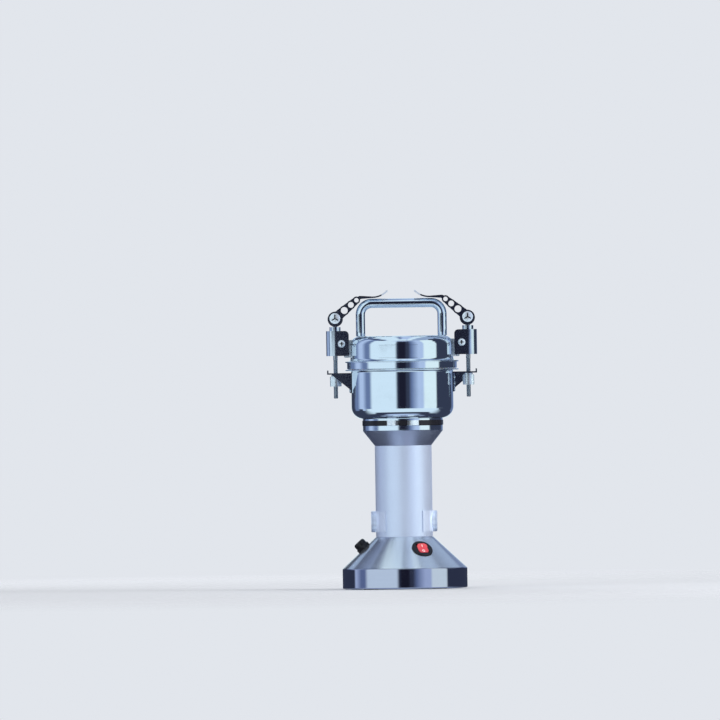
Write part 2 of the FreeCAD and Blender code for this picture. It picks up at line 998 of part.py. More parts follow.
def make_brush_springs():
    length = cap_stem_end() - brush_rear() - 2 * brush_spring_wire
    pitch = length / brush_spring_turns
    path = helix_path(brush_spring_radius, pitch, brush_spring_turns)
    start = Vector(brush_spring_radius, 0, 0)
    climb = Vector(0, 2 * math.pi * brush_spring_radius, pitch)
    profile = Part.Wire(Part.makeCircle(brush_spring_wire, start, climb))
    spring = path.makePipeShell([profile], True, False)
    spring.rotate(ORIGIN, Y_AXIS, 90)
    spring.translate(Vector(brush_rear() + brush_spring_wire, 0, brush_height))
    return group([spring, spun(spring, 180)])


# Motor stator and brackets
def make_stator_core():
    parts = [ring(stator_radius, yoke_inner, stator_low, stator_high)]
    for azimuth in (90, 270):
        shoe = arc_sector(pole_bore + pole_shoe_thickness, pole_bore, pole_shoe_angle, azimuth,
                          stator_low, stator_high)
        body = centred_box(2 * pole_half_width, 2 * yoke_inner, stator_low, stator_high)
        half = centred_box(4 * stator_radius, 2 * stator_radius, stator_low, stator_high, 0,
                           stator_radius if azimuth == 90 else -stator_radius)
        body = body.common(half).common(
            ring(yoke_inner + weld_depth, pole_bore + weld_depth, stator_low, stator_high))
        parts += [shoe, body]
    return fused(parts)


def make_stator_windings():
    coils = []
    inner = pole_bore + pole_shoe_thickness + play
    outer = yoke_inner - play
    half_angle = pole_shoe_angle - coil_end_angle
    for azimuth in (90, 270):
        coil = arc_sector(outer, inner, half_angle, azimuth, stator_low - end_turn_height,
                          stator_high + end_turn_height)
        window = centred_box(2 * (pole_half_width + play), 4 * stator_radius,
                             stator_low - play, stator_high + play)
        coils.append(coil.cut(window))
    return group(coils)


def bearing_hub(low, high):
    return cylinder(bearing_radius + bearing_hub_wall, low, high)


def make_lower_bracket():
    top = bracket_floor + bracket_thickness
    disc = cylinder(column_inner - panel_gap, bracket_floor, top)
    seat_low = lower_bearing_floor - bearing_seat_floor
    hub = bearing_hub(seat_low, top)
    bracket = disc.fuse(hub).removeSplitter()
    cuts = [
        cylinder(bearing_radius, lower_bearing_floor, top),
        cylinder(shaft_radius + shaft_hole_margin, seat_low, lower_bearing_floor),
    ]
    window_inner = bearing_radius + bearing_hub_wall + bracket_window_margin
    for i in range(4):
        cuts.append(arc_sector(column_inner - bracket_rim, window_inner, bracket_window_angle,
                               90 * i, bracket_floor, top))
    return bracket.cut(group(cuts))


def make_upper_bracket():
    disc = cylinder(funnel_rim_inner - panel_gap, upper_disc_low, funnel_top)
    hub = bearing_hub(upper_bearing_top - bearing_width, upper_disc_low)
    bracket = disc.fuse(hub).removeSplitter()
    low = upper_bearing_top - bearing_width
    cuts = [
        cylinder(bearing_radius, low, upper_bearing_top),
        cylinder(shaft_shoulder_radius + shaft_hole_margin, upper_bearing_top, funnel_top),
    ]
    for point in flange_screw_points():
        cuts.append(cylinder(screw_radius + panel_gap, upper_disc_low, funnel_top,
                             point.x, point.y))
    window_inner = bearing_radius + 2 * bearing_hub_wall
    for i in range(4):
        cuts.append(arc_sector(flange_screw_circle - screw_boss_radius, window_inner,
                               bracket_window_angle, 90 * i, upper_disc_low, funnel_top))
    return bracket.cut(group(cuts))


def make_shaft_bearings():
    outer = bearing_radius - close_gap
    inner = shaft_radius + close_gap
    shield_outer = outer - bearing_race
    shield_inner = inner + bearing_race
    bearings = []
    for low in (lower_bearing_floor, upper_bearing_top - bearing_width):
        high = low + bearing_width
        bearing = ring(outer, inner, low, high)
        grooves = [
            ring(shield_outer, shield_inner, low, low + bearing_shield_depth),
            ring(shield_outer, shield_inner, high - bearing_shield_depth, high),
        ]
        bearings.append(bearing.cut(group(grooves)))
    return group(bearings)


# Rotor
def make_motor_shaft():
    shaft_low = lower_bearing_floor - shaft_end_below
    return turned([
        (0, shaft_low),
        (shaft_radius, shaft_low, small_edge),
        (shaft_radius, upper_bearing_top),
        (shaft_shoulder_radius, upper_bearing_top),
        (shaft_shoulder_radius, first_spacer_low),
        (shaft_radius, first_spacer_low),
        (shaft_radius, shaft_top, soft_edge),
        (0, shaft_top),
    ])


def make_armature_core():
    core = ring(armature_radius, shaft_radius, stator_low, stator_high)
    cuts = []
    for i in range(armature_slots):
        body = cylinder(armature_slot_radius, stator_low, stator_high, slot_centre, 0)
        mouth = Part.makeBox(armature_radius, slot_mouth, stator_high - stator_low,
                             Vector(slot_centre, -slot_mouth / 2, stator_low))
        cuts.append(spun(body.fuse(mouth), 360 * i / armature_slots))
    return core.cut(group(cuts))


def make_armature_windings():
    wire_bundle = armature_slot_radius - slot_filling_gap
    inner = shaft_radius + play
    outer = armature_radius - armature_turn_inset
    rounding = armature_turn_edge
    low = stator_low - armature_end_turn
    high = stator_high + armature_end_turn
    parts = []
    for start, end in ((low, stator_low), (stator_high, high)):
        parts.append(turned([
            (inner, start),
            (outer, start, rounding if start == low else 0),
            (outer, end, rounding if end == high else 0),
            (inner, end),
        ]))
    for i in range(armature_slots):
        bundle = cylinder(wire_bundle, stator_low - weld_depth, stator_high + weld_depth,
                          slot_centre, 0)
        parts.append(spun(bundle, 360 * i / armature_slots))
    return fused(parts)


def make_commutator():
    high = commutator_low + commutator_length
    body = turned([
        (shaft_radius, commutator_low),
        (commutator_radius, commutator_low, fine_edge),
        (commutator_radius, high - riser_length),
        (commutator_radius + commutator_riser, high - riser_length),
        (commutator_radius + commutator_riser, high),
        (shaft_radius, high),
    ])
    cuts = []
    slot_length = bar_gap_depth + commutator_riser + cutter_margin
    for i in range(commutator_bars):
        slot = Part.makeBox(slot_length, bar_gap, commutator_length,
                            Vector(commutator_radius - bar_gap_depth, -bar_gap / 2,
                                   commutator_low))
        cuts.append(spun(slot, 360 * i / commutator_bars))
    return body.cut(group(cuts))


def make_cooling_fan():
    high = fan_low + fan_height
    parts = [
        ring(shaft_radius + fan_hub_wall, shaft_radius, fan_low, high),
        ring(fan_radius, shaft_radius, fan_low, fan_low + fan_disc_thickness),
    ]
    root = shaft_radius + fan_hub_wall / 2
    disc_middle = fan_low + fan_disc_thickness / 2
    corner = Vector(root, -fan_blade_thickness / 2, disc_middle)
    for i in range(fan_blades):
        blade = Part.makeBox(fan_radius - play - root, fan_blade_thickness, high - disc_middle,
                             corner)
        parts.append(spun(blade, 360 * i / fan_blades))
    return fused(parts)


# Funnel and the joint stack
def make_funnel_housing():
    spigot_low = column_top - funnel_spigot
    shell = turned([
        (column_radius, column_top),
        (stack_radius + panel_gap, funnel_top),
        (funnel_rim_inner, funnel_top),
        (funnel_rim_inner, upper_disc_low),
        (funnel_rim_inner - funnel_step, upper_disc_low),
        (spigot_inner, column_top + funnel_spigot_top),
        (spigot_inner, spigot_low),
        (spigot_outer, spigot_low),
        (spigot_outer, column_top),
    ])
    inside = turned([
        (0, column_top + weld_depth),
        (column_radius - weld_depth, column_top + weld_depth),
        (stack_radius - 2 * weld_depth, upper_disc_low),
        (0, upper_disc_low),
    ])
    parts = [shell]
    pilots = []
    boss_low = flange_top - screw_head_height - screw_grip - 2 * pilot_extra
    for point in flange_screw_points():
        boss = cylinder(screw_boss_radius, boss_low, upper_disc_low, point.x, point.y)
        parts.append(boss.common(inside))
        pilots.append(cylinder(screw_radius + close_gap, boss_low + pilot_extra, upper_disc_low,
                               point.x, point.y))
    return fused(parts).cut(group(pilots))


def stud_points():
    first = polar(stud_circle, 90 - stud_angle)
    return [
        Vector(first.x, first.y, 0),
        Vector(-first.x, first.y, 0),
        Vector(-first.x, -first.y, 0),
        Vector(first.x, -first.y, 0),
    ]


def make_clamp_flange():
    flange = turned([
        (stack_bore_radius, funnel_top),
        (stack_radius, funnel_top, small_edge),
        (stack_radius, flange_top, small_edge),
        (stack_bore_radius, flange_top),
    ])
    cuts = []
    for point in stud_points():
        cuts.append(cylinder(stud_radius + close_gap, funnel_top + stud_end_gap, flange_top,
                             point.x, point.y))
    for point in flange_screw_points():
        cuts.append(cylinder(screw_radius + panel_gap, funnel_top, flange_top, point.x, point.y))
        cuts.append(cylinder(screw_head_radius + panel_gap, flange_top - screw_head_height,
                             flange_top, point.x, point.y))
    return flange.cut(group(cuts))


def make_insulator_ring():
    collar = ring(stack_radius + ring_lip, stack_bore_radius, flange_top, ring_top)
    pocket_flats = mount_nut_flats + 2 * play
    cuts = []
    for point in stud_points():
        cuts.append(hexagon(pocket_flats, flange_top, ring_top, point.x, point.y,
                            mount_nut_turn))
        outward = stack_radius if point.y > 0 else -stack_radius
        cuts.append(centred_box(pocket_flats, stack_radius, flange_top, ring_top, point.x,
                                point.y + outward / 2))
    return collar.cut(group(cuts))


def make_mount_nuts():
    nuts = []
    for point in stud_points():
        nut = hexagon(mount_nut_flats, flange_top, ring_top, point.x, point.y, mount_nut_turn)
        bore = cylinder(stud_radius + close_gap, flange_top, ring_top, point.x, point.y)
        nuts.append(nut.cut(bore))
    return group(nuts)


def make_bowl_plate():
    """Thin plate welded under the bowl, with four studs that hold it down."""
    plate = ring(stack_radius, bowl_plate_bore, ring_top, bowl_bottom)
    stud_low = funnel_top + 2 * stud_end_gap
    stud_high = ring_top + bowl_plate_height / 2
    studs = [
        cylinder(stud_radius, stud_low, stud_high, point.x, point.y)
        for point in stud_points()
    ]
    return fused([plate] + studs)


# Bowl
def make_grinding_bowl():
    bowl = turned([
        (seal_neck_radius + close_gap, bowl_bottom),
        (bowl_radius, bowl_bottom, bowl_corner),
        (bowl_radius, bowl_top - lip_thickness, lip_fillet),
        (lip_radius, bowl_top - lip_thickness, small_edge),
        (lip_radius, bowl_top, small_edge),
        (bowl_inner, bowl_top, bowl_rim_edge),
        (bowl_inner, bowl_floor, bowl_corner - bowl_wall),
        (seal_neck_radius + close_gap, bowl_floor),
    ])
    return bowl.cut(group(rivet_bores()))


def make_shaft_seal():
    bore = shaft_shoulder_radius + close_gap
    low = bowl_bottom - seal_collar_height
    return turned([
        (bore, low),
        (seal_collar_radius, low, small_edge),
        (seal_collar_radius, bowl_bottom),
        (seal_neck_radius, bowl_bottom),
        (seal_neck_radius, bowl_floor),
        (seal_flange_radius, bowl_floor),
        (seal_flange_radius, bowl_floor + seal_top_height, soft_edge),
        (bore, bowl_floor + seal_top_height),
    ])


# Blades
def swept_arm(reach, root_width, tip_width, sweep):
    """Curved arm from the hub along +X, its tip swept sideways, edges as single arcs."""
    half_root = root_width / 2
    lead_root = Vector(0, half_root, 0)
    trail_root = Vector(0, -half_root, 0)
    tip_x = math.sqrt(reach ** 2 - (sweep + tip_width / 2) ** 2)
    lead_tip = Vector(tip_x, sweep + tip_width / 2, 0)
    trail_tip = Vector(tip_x, sweep - tip_width / 2, 0)
    bend_x = tip_x * blade_bend_share
    lead_middle = Vector(bend_x, half_root * blade_lead_share, 0)
    trail_middle = Vector(bend_x, -half_root * blade_trail_share, 0)
    edges = [
        Part.Arc(lead_root, lead_middle, lead_tip).toShape(),
        Part.LineSegment(lead_tip, trail_tip).toShape(),
        Part.Arc(trail_tip, trail_middle, trail_root).toShape(),
        Part.LineSegment(trail_root, lead_root).toShape(),
    ]
    return Part.Face(Part.Wire(edges))


def blade_from(arm_face, low, angle):
    arm_face.translate(Vector(0, 0, low))
    arm = arm_face.extrude(Vector(0, 0, blade_thickness))
    hub = cylinder(hub_radius, low, low + blade_thickness)
    blade = fused([arm, spun(arm, 180), hub])
    bore = cylinder(shaft_radius, low, low + blade_thickness)
    return spun(blade.cut(bore), angle)


def edge_bevel(blade, low, reach):
    """Thins both ends of a blade to a sharp rim near its tips."""
    start = reach - blade_bevel_length
    outside = reach + weld_depth
    above = low + blade_thickness + weld_depth
    cutter = turned([
        (start, low + blade_thickness),
        (outside, low + blade_thickness * blade_rim_share),
        (outside, above),
        (start, above),
    ])
    return blade.cut(cutter)


def make_lower_blade():
    arm = swept_arm(blade_reach, blade_root_width, blade_tip_width, blade_sweep)
    blade = blade_from(arm, blade_floor, lower_blade_angle)
    return edge_bevel(blade, blade_floor, blade_reach)


def make_upper_blade():
    half = upper_blade_width / 2
    waist = half * upper_blade_waist_share
    arm = outline([
        (0, half),
        (upper_blade_shoulder, waist, upper_blade_curve),
        (upper_blade_reach, upper_blade_point),
        (upper_blade_reach, -upper_blade_point),
        (upper_blade_shoulder, -waist, upper_blade_curve),
        (0, -half),
    ], level)
    blade = blade_from(arm, upper_blade_low, upper_blade_angle)
    return edge_bevel(blade, upper_blade_low, upper_blade_reach)


def make_blade_spacers():
    lower = ring(hub_radius, shaft_radius, first_spacer_low, blade_floor)
    upper_low = blade_floor + blade_thickness
    upper = ring(spacer_radius, shaft_radius, upper_low, upper_low + blade_spacing)
    return group([lower, upper])


def make_blade_nut():
    high = blade_nut_low + blade_nut_height
    nut = hexagon(blade_nut_flats, blade_nut_low, high)
    half = blade_nut_flats / 2
    crown = Part.makeCone(half + blade_nut_chamfer, half, blade_nut_height,
                          Vector(0, 0, blade_nut_low))
    return nut.common(crown).cut(cylinder(shaft_radius, blade_nut_low, high))


# Lid
def make_lid():
    spigot_outer_radius = bowl_inner - play
    spigot_inner_radius = spigot_outer_radius - lid_spigot_wall
    cavity = lid_radius - lid_wall
    groove_inner = gasket_radius - gasket_width / 2
    groove_outer = gasket_radius + gasket_width / 2
    groove_top = lid_bottom + gasket_depth
    lid = turned([
        (lid_band_radius, lid_bottom, fine_edge),
        (lid_band_radius, lid_band_top),
        (lip_radius, lid_band_top, small_edge),
        (lip_radius, lid_flange_top, small_edge),
        (lid_radius, lid_flange_top, lid_wall_fillet),
        (lid_radius, lid_top, lid_shoulder),
        (lid_recess_radius, lid_top, soft_edge),
        (lid_recess_radius - lid_recess_slope, lid_top - lid_recess_depth, soft_edge),
        (0, lid_top - lid_recess_depth),
        (0, lid_ceiling),
        (cavity, lid_ceiling, lid_shoulder - lid_wall - lid_recess_depth),
        (cavity, groove_top),
        (spigot_inner_radius, groove_top),
        (spigot_inner_radius, lid_bottom - lid_spigot_depth),
        (spigot_outer_radius, lid_bottom - lid_spigot_depth, fine_edge),
        (spigot_outer_radius, lid_bottom),
        (groove_inner, lid_bottom),
        (groove_inner, groove_top),
        (groove_outer, groove_top),
        (groove_outer, lid_bottom),
    ])
    holes = []
    for x in (-handle_leg_x, handle_leg_x):
        holes.append(cylinder(handle_screw_radius + panel_gap, lid_ceiling - cutter_margin,
                              lid_top + cutter_margin, x))
        holes.append(cylinder(handle_screw_head + panel_gap, lid_ceiling - lid_shoulder,
                              lid_ceiling, x))
    return lid.cut(group(holes))


def make_lid_gasket():
    outer = gasket_radius + gasket_width / 2 - close_gap
    inner = gasket_radius - gasket_width / 2 + close_gap
    return turned([
        (inner, bowl_top + gasket_gap, gasket_edge),
        (outer, bowl_top + gasket_gap, gasket_edge),
        (outer, lid_bottom + gasket_depth),
        (inner, lid_bottom + gasket_depth),
    ])


def make_lid_handle():
    bend = handle_corner - handle_bar_radius
    top = handle_top - handle_bar_radius
    points = [
        Vector(-handle_leg_x, 0, lid_top),
        Vector(-handle_leg_x, 0, top),
        Vector(handle_leg_x, 0, top),
        Vector(handle_leg_x, 0, lid_top),
    ]
    path = Part.Wire(rounded_edges(points, [0, bend, bend, 0], False))
    profile = Part.Wire(Part.makeCircle(handle_bar_radius, points[0], Z_AXIS))
    bar = path.makePipeShell([profile], True, False)
    depth = lid_top + handle_screw_grip + 2 * pilot_extra
    bores = [
        cylinder(handle_screw_radius + close_gap, lid_top, depth, x)
        for x in (-handle_leg_x, handle_leg_x)
    ]
    return bar.cut(group(bores))


def make_handle_screws():
    length = lid_top + handle_screw_grip - lid_ceiling
    screw = upended(pan_screw(handle_screw_radius, handle_screw_head, handle_screw_head_height,
                              length))
    return group([
        moved(screw, Vector(x, 0, lid_ceiling)) for x in (-handle_leg_x, handle_leg_x)
    ])


def make_lid_lugs():
    """Tongues welded to the lid's wall, which carry the clamps' pivot screws."""
    low = pivot_z - lug_root_depth
    tip_low = pivot_z - lug_tip_radius
    tip_high = pivot_z + lug_tip_radius
    root_x = lid_radius - lid_shoulder
    step_x = pivot_x - lug_tip_radius + lug_step
    tongue = slab_along_y([
        (root_x, low),
        (step_x, low, lug_fillet),
        (step_x, tip_low, lug_fillet),
        (pivot_x, tip_low),
        (pivot_x, tip_high),
        (root_x, tip_high),
    ], -lug_half_width, lug_half_width)
    tip = cylinder_along(Y_AXIS, lug_tip_radius, Vector(pivot_x, -lug_half_width, pivot_z),
                         2 * lug_half_width)
    pad_high = lid_top - lid_shoulder
    pad_width = centred_box(4 * lid_radius, 2 * lug_pad_half_width, low, pad_high)
    pad = cylinder(lid_radius + lug_pad_thickness, low, pad_high).common(pad_width)
    pad = pad.common(centred_box(2 * lid_radius, 4 * lid_radius, low, pad_high,
                                 root_x + lid_radius))
    lid_body = turned([
        (0, lid_flange_top),
        (lid_radius + close_gap, lid_flange_top),
        (lid_radius + close_gap, lid_top + close_gap, lid_shoulder + close_gap),
        (0, lid_top + close_gap),
    ])
    right = fused([tongue, tip, pad]).cut(lid_body)
    bore = cylinder_along(Y_AXIS, pivot_screw_radius + close_gap,
                          Vector(pivot_x, -lug_half_width, pivot_z), 2 * lug_half_width)
    right = right.cut(bore)
    return group([right, mirrored(right)])


def make_pivot_screws():
    """Cross-head screws from the front through the block and the lug, each with its nut."""
    seat = block_outer_radius + 2 * close_gap
    grip = 2 * seat
    nut_low = -grip - pivot_nut_height
    screw = pan_screw(pivot_screw_radius, pivot_head_radius, pivot_head_height,
                      pivot_screw_end - nut_low)
    nut = hexagon(pivot_nut_flats, nut_low, -grip)
    nut = nut.cut(cylinder(pivot_screw_radius + close_gap, nut_low, -grip))
    pieces = []
    for piece in (screw, nut):
        piece.rotate(ORIGIN, X_AXIS, 90)
        piece.translate(Vector(pivot_x, -seat, pivot_z))
        pieces += [piece, mirrored(piece)]
    return group(pieces)


# Clamps, made for the right side
def make_clamp_block():
    """Bent plate: two cheeks joined by a half-round bend that goes round the rod."""
    inner_end = rod_x - block_inner_reach
    corners = [
        (inner_end, block_low, block_edge),
        (rod_x + block_outer_radius, block_low),
        (rod_x + block_outer_radius, block_high),
        (inner_end, block_high, block_corner),
    ]
    side_view = slab_along_y(corners, -block_outer_radius, block_outer_radius)
    inner_radius = block_outer_radius - block_plate
    outer = cylinder(block_outer_radius, block_low, block_high, rod_x)
    outer = outer.fuse(centred_box(block_inner_reach, 2 * block_outer_radius, block_low,
                                   block_high, rod_x - block_inner_reach / 2))
    inner = cylinder(inner_radius, block_low, block_high, rod_x)
    inner = inner.fuse(centred_box(block_inner_reach, 2 * inner_radius, block_low, block_high,
                                   rod_x - block_inner_reach / 2))
    block = outer.removeSplitter().cut(inner.removeSplitter()).common(side_view)
    bore = cylinder_along(Y_AXIS, pivot_screw_radius + slide_gap,
                          Vector(pivot_x, -2 * block_outer_radius, pivot_z),
                          4 * block_outer_radius)
    return block.cut(bore)


def make_guide_sleeve():
    """Guide inside the bend; its head is the saddle that the lever's cam bears on."""
    body_radius = block_outer_radius - block_plate - close_gap
    sleeve = cylinder(body_radius, block_low + sleeve_inset, block_high, rod_x)
    head = cylinder(saddle_radius, block_high, saddle_top, rod_x)
    sleeve = sleeve.fuse(head).removeSplitter()
    slot_half_height = lug_tip_radius + lug_slot_room
    slot_half_width = lug_half_width + lug_side_room
    slot_start = rod_x - rod_radius - 2 * body_radius
    slot = Part.makeBox(2 * body_radius, 2 * slot_half_width, 2 * slot_half_height,
                        Vector(slot_start, -slot_half_width, pivot_z - slot_half_height))
    screw_path = cylinder_along(Y_AXIS, pivot_screw_radius + play,
                                Vector(pivot_x, -body_radius, pivot_z), 2 * body_radius)
    bore = cylinder(rod_radius + slide_gap, block_low, saddle_top, rod_x)
    return sleeve.cut(group([slot, screw_path])).cut(bore)


def make_clamp_rod():
    top = barrel_z + rod_past_axis
    return moved(turned([
        (0, rod_low),
        (rod_radius, rod_low, soft_edge),
        (rod_radius, top),
        (0, top),
    ]), Vector(rod_x, 0, 0))


def make_clamp_barrel():
    """Cross pin that the rod screws into and the lever turns on."""
    start = Vector(rod_x, -barrel_half_length, barrel_z)
    barrel = cylinder_along(Y_AXIS, barrel_radius, start, 2 * barrel_half_length)
    cuts = [cylinder(rod_radius + thread_gap, barrel_z - 2 * barrel_radius,
                     barrel_z + rod_past_axis, rod_x)]
    for end in (-barrel_half_length, barrel_half_length - spoke_depth):
        for i in range(spoke_count):
            spoke = Part.makeBox(spoke_length, spoke_depth, spoke_width,
                                 Vector(0, end, -spoke_width / 2))
            spoke.rotate(ORIGIN, Y_AXIS, first_spoke_angle + 360 * i / spoke_count)
            cuts.append(moved(spoke, Vector(rod_x, 0, barrel_z)))
    for cut in cuts:
        barrel = barrel.cut(cut)
    return barrel


def lever_strip_start():
    x = handle_half_width - lever_strip_inset
    z = handle_top + lever_strip_gap + lever_strip_thickness / 2
    return Vector(x, 0, z)


def make_clamp_lever():
    """Cam ring round the barrel, an arm with three round windows and a thin finger strip."""
    centre = Vector(rod_x, 0, barrel_z)
    start = lever_strip_start()
    arm_rise = math.radians(lever_arm_angle)
    along = Vector(-math.cos(arm_rise), 0, math.sin(arm_rise))
    cam_lean = math.radians(cam_angle)
    cam_centre = centre + Vector(-math.sin(cam_lean), 0, -math.cos(cam_lean)) * cam_throw
    parts = [disc_along_y(cam_radius, cam_centre, lever_half_width)]
    before = (0, cam_radius - lever_cam_inset)
    for place, hole_radius in lever_holes:
        lobe = hole_radius + lever_rib
        parts.append(disc_along_y(lobe, centre + along * place, lever_half_width))
        parts.append(web_between(centre + along * before[0], centre + along * place,
                                 before[1] * lever_web_share, lobe * lever_web_share))
        before = (place, lobe)
    root_half = lever_root_thickness / 2
    half = lever_strip_thickness / 2
    last = centre + along * lever_holes[-1][0]
    parts.append(web_between(last, start, lever_holes[-1][1] + lever_strip_root, root_half))
    parts.append(disc_along_y(root_half, start, lever_half_width))
    strip_end = start - Vector(lever_strip_length, 0, 0)
    parts.append(web_between(start, strip_end, root_half, half))
    parts.extend(finger_curl(strip_end, half))
    lever = fused(parts)
    past_sides = lever_half_width + cutter_margin
    cuts = [disc_along_y(barrel_radius + slide_gap, centre, past_sides)]
    for place, hole_radius in lever_holes:
        cuts.append(disc_along_y(hole_radius, centre + along * place, past_sides))
    cuts.append(disc_along_y(cam_reach + 2 * play, centre, lever_rod_slot))
    for cut in cuts:
        lever = lever.cut(cut)
    return lever


def finger_curl(start, half):
    """End of the finger strip, curled upwards, with a rolled bead at its tip."""
    centre = start + Vector(0, 0, lever_curl_radius)
    turn = math.radians(lever_curl_angle)
    depth = lever_curl_radius + lever_root_thickness
    wedge = slab_along_y([
        (centre.x, centre.z),
        (centre.x, centre.z - depth),
        (centre.x - depth * math.tan(turn), centre.z - depth),
    ], -lever_half_width, lever_half_width)
    outside = disc_along_y(lever_curl_radius + half, centre, lever_half_width)
    inside = disc_along_y(lever_curl_radius - half, centre, lever_half_width + cutter_margin)
    tip = centre + Vector(-math.sin(turn), 0, -math.cos(turn)) * lever_curl_radius
    return [wedge.common(outside).cut(inside),
            disc_along_y(lever_bead_radius, tip, lever_half_width)]


def disc_along_y(radius, centre, half_width):
    return cylinder_along(Y_AXIS, radius, centre - Vector(0, half_width, 0), 2 * half_width)


def web_between(first, second, first_half, second_half):
    """Tapered wall between two places of the lever, as wide as the lever."""
    along = (second - first).normalize()
    across = Vector(-along.z, 0, along.x)
    corners = [
        first + across * first_half,
        second + across * second_half,
        second - across * second_half,
        first - across * first_half,
    ]
    return slab_along_y([(corner.x, corner.z) for corner in corners],
                        -lever_half_width, lever_half_width)


def make_adjusting_nut():
    """Nut with two flats: it passes the fork when they line up, and a quarter turn locks it."""
    low = nut_shoulder - nut_height
    nut = turned([
        (rod_radius + slide_gap, low),
        (nut_radius, low, small_edge),
        (nut_radius, nut_shoulder, small_edge),
        (nut_collar_radius, nut_shoulder),
        (nut_collar_radius, nut_top),
        (rod_radius + slide_gap, nut_top),
    ])
    nut = nut.common(centred_box(4 * nut_radius, 2 * nut_half_flat, low, nut_top))
    cuts = []
    for i in range(nut_ribs):
        azimuth = (i - (nut_ribs - 1) / 2) * nut_rib_spacing
        for side in (0, 180):
            groove = cylinder(nut_rib_depth, low, nut_shoulder, nut_radius)
            cuts.append(spun(groove, azimuth + side))
    nut = nut.cut(group(cuts))
    return moved(nut, Vector(rod_x, 0, 0))


# Fork brackets, made for the right side with the gusset at the rear
def rivet_places():
    places = []
    for row in range(rivet_rows):
        height = shelf_low - rivet_first_drop - row * rivet_spacing
        for y in (-rivet_half_spacing, rivet_half_spacing):
            places.append((y, height))
    return places


def rivet_bores():
    bores = []
    length = back_plate_outer - bowl_inner + 2 * cutter_margin
    for y, height in rivet_places():
        for side in (-1, 1):
            start = Vector(side * (bowl_inner - cutter_margin), y, height)
            bores.append(cylinder_along(X_AXIS * side, rivet_radius + close_gap, start, length))
    return bores


def make_right_bracket():
    half = shelf_half_width
    plate_low = shelf_low - back_plate_height
    shell = ring(back_plate_outer, bowl_radius + close_gap, plate_low, shelf_top)
    back = shell.common(centred_box(2 * back_plate_outer, 2 * half, plate_low, shelf_top,
                                    back_plate_outer))
    shelf_x = rod_x + shelf_end
    shelf_start = bowl_radius - shelf_root
    shelf = Part.makeBox(shelf_x - shelf_start, 2 * half, shelf_thickness,
                         Vector(shelf_start, -half, shelf_low))
    shelf = shelf.cut(cylinder(bowl_radius + close_gap, shelf_low, shelf_top))
    lip = Part.makeBox(shelf_thickness, 2 * half, shelf_lip_height,
                       Vector(shelf_x - shelf_thickness, -half, shelf_top))
    gusset_x = rod_x + gusset_end
    gusset = slab_along_y([
        (back_plate_outer - gusset_root, shelf_low),
        (gusset_x, shelf_low),
        (back_plate_outer, shelf_low - gusset_height),
        (back_plate_outer - gusset_root, shelf_low - gusset_height),
    ], half - shelf_thickness, half)
    gusset = gusset.cut(cylinder(bowl_radius + close_gap, plate_low, shelf_top))
    bracket = fused([back, shelf, lip, gusset])
    fork_start = rod_x - nut_radius - fork_inner_gap
    fork_height = shelf_thickness + shelf_lip_height + 2 * cutter_margin
    fork = Part.makeBox(shelf_x + cutter_margin - fork_start, 2 * fork_half_width, fork_height,
                        Vector(fork_start, -fork_half_width, shelf_low - cutter_margin))
    return bracket.cut(fork).cut(group(rivet_bores()))


def make_bracket_rivets():
    rivets = []
    for y, height in rivet_places():
        seat = math.sqrt(back_plate_outer ** 2 - y ** 2)
        inside = math.sqrt(bowl_inner ** 2 - (abs(y) + rivet_radius) ** 2)
        start = Vector(inside, y, height)
        shank = cylinder_along(X_AXIS, rivet_radius, start, seat - inside)
        head = Part.makeCylinder(rivet_head_radius, rivet_head_height + rivet_head_sink,
                                 Vector(seat - rivet_head_sink, y, height), X_AXIS)
        head = head.cut(cylinder(back_plate_outer + thread_gap, height - rivet_spacing,
                                 height + rivet_spacing))
        rim = [edge for edge in head.Edges if edge.BoundBox.XMin > seat + rivet_head_height / 2]
        head = head.makeFillet(small_edge, rim)
        rivet = shank.fuse(head).removeSplitter()
        rivets += [rivet, spun(rivet, 180)]
    return group(rivets)


# Build and export every piece
fixed_pieces = {
    "base_skirt": make_base_skirt,
    "base_plate": make_base_plate,
    "rubber_feet": make_rubber_feet,
    "housing_screws": make_housing_screws,
    "base_cone": make_base_cone,
    "switch_housing": make_switch_housing,
    "switch_rocker": make_switch_rocker,
    "switch_terminals": make_switch_terminals,
    "cord_gland": make_cord_gland,
    "gland_locknut": make_gland_locknut,
    "terminal_block": make_terminal_block,
    "lead_wires": make_lead_wires,
    "motor_column": make_motor_column,
    "brush_bosses": make_brush_bosses,
    "brush_caps": make_brush_caps,
    "brush_holders": make_brush_holders,
    "carbon_brushes": make_carbon_brushes,
    "brush_springs": make_brush_springs,
    "stator_core": make_stator_core,
    "stator_windings": make_stator_windings,
    "lower_bracket": make_lower_bracket,
    "upper_bracket": make_upper_bracket,
    "shaft_bearings": make_shaft_bearings,
    "motor_shaft": make_motor_shaft,
    "armature_core": make_armature_core,
    "armature_windings": make_armature_windings,
    "commutator": make_commutator,
    "cooling_fan": make_cooling_fan,
    "funnel_housing": make_funnel_housing,
    "clamp_flange": make_clamp_flange,
    "insulator_ring": make_insulator_ring,
    "mount_nuts": make_mount_nuts,
    "bowl_plate": make_bowl_plate,
    "grinding_bowl": make_grinding_bowl,
    "shaft_seal": make_shaft_seal,
    "blade_spacers": make_blade_spacers,
    "lower_blade": make_lower_blade,
    "upper_blade": make_upper_blade,
    "blade_nut": make_blade_nut,
    "lid": make_lid,
    "lid_gasket": make_lid_gasket,
    "lid_handle": make_lid_handle,
    "handle_screws": make_handle_screws,
    "lid_lugs": make_lid_lugs,
    "pivot_screws": make_pivot_screws,
    "bracket_rivets": make_bracket_rivets,
}

clamp_pieces = {
    "clamp_block": make_clamp_block,
    "guide_sleeve": make_guide_sleeve,
    "clamp_rod": make_clamp_rod,
    "clamp_barrel": make_clamp_barrel,
    "clamp_lever": make_clamp_lever,
    "adjusting_nut": make_adjusting_nut,
}

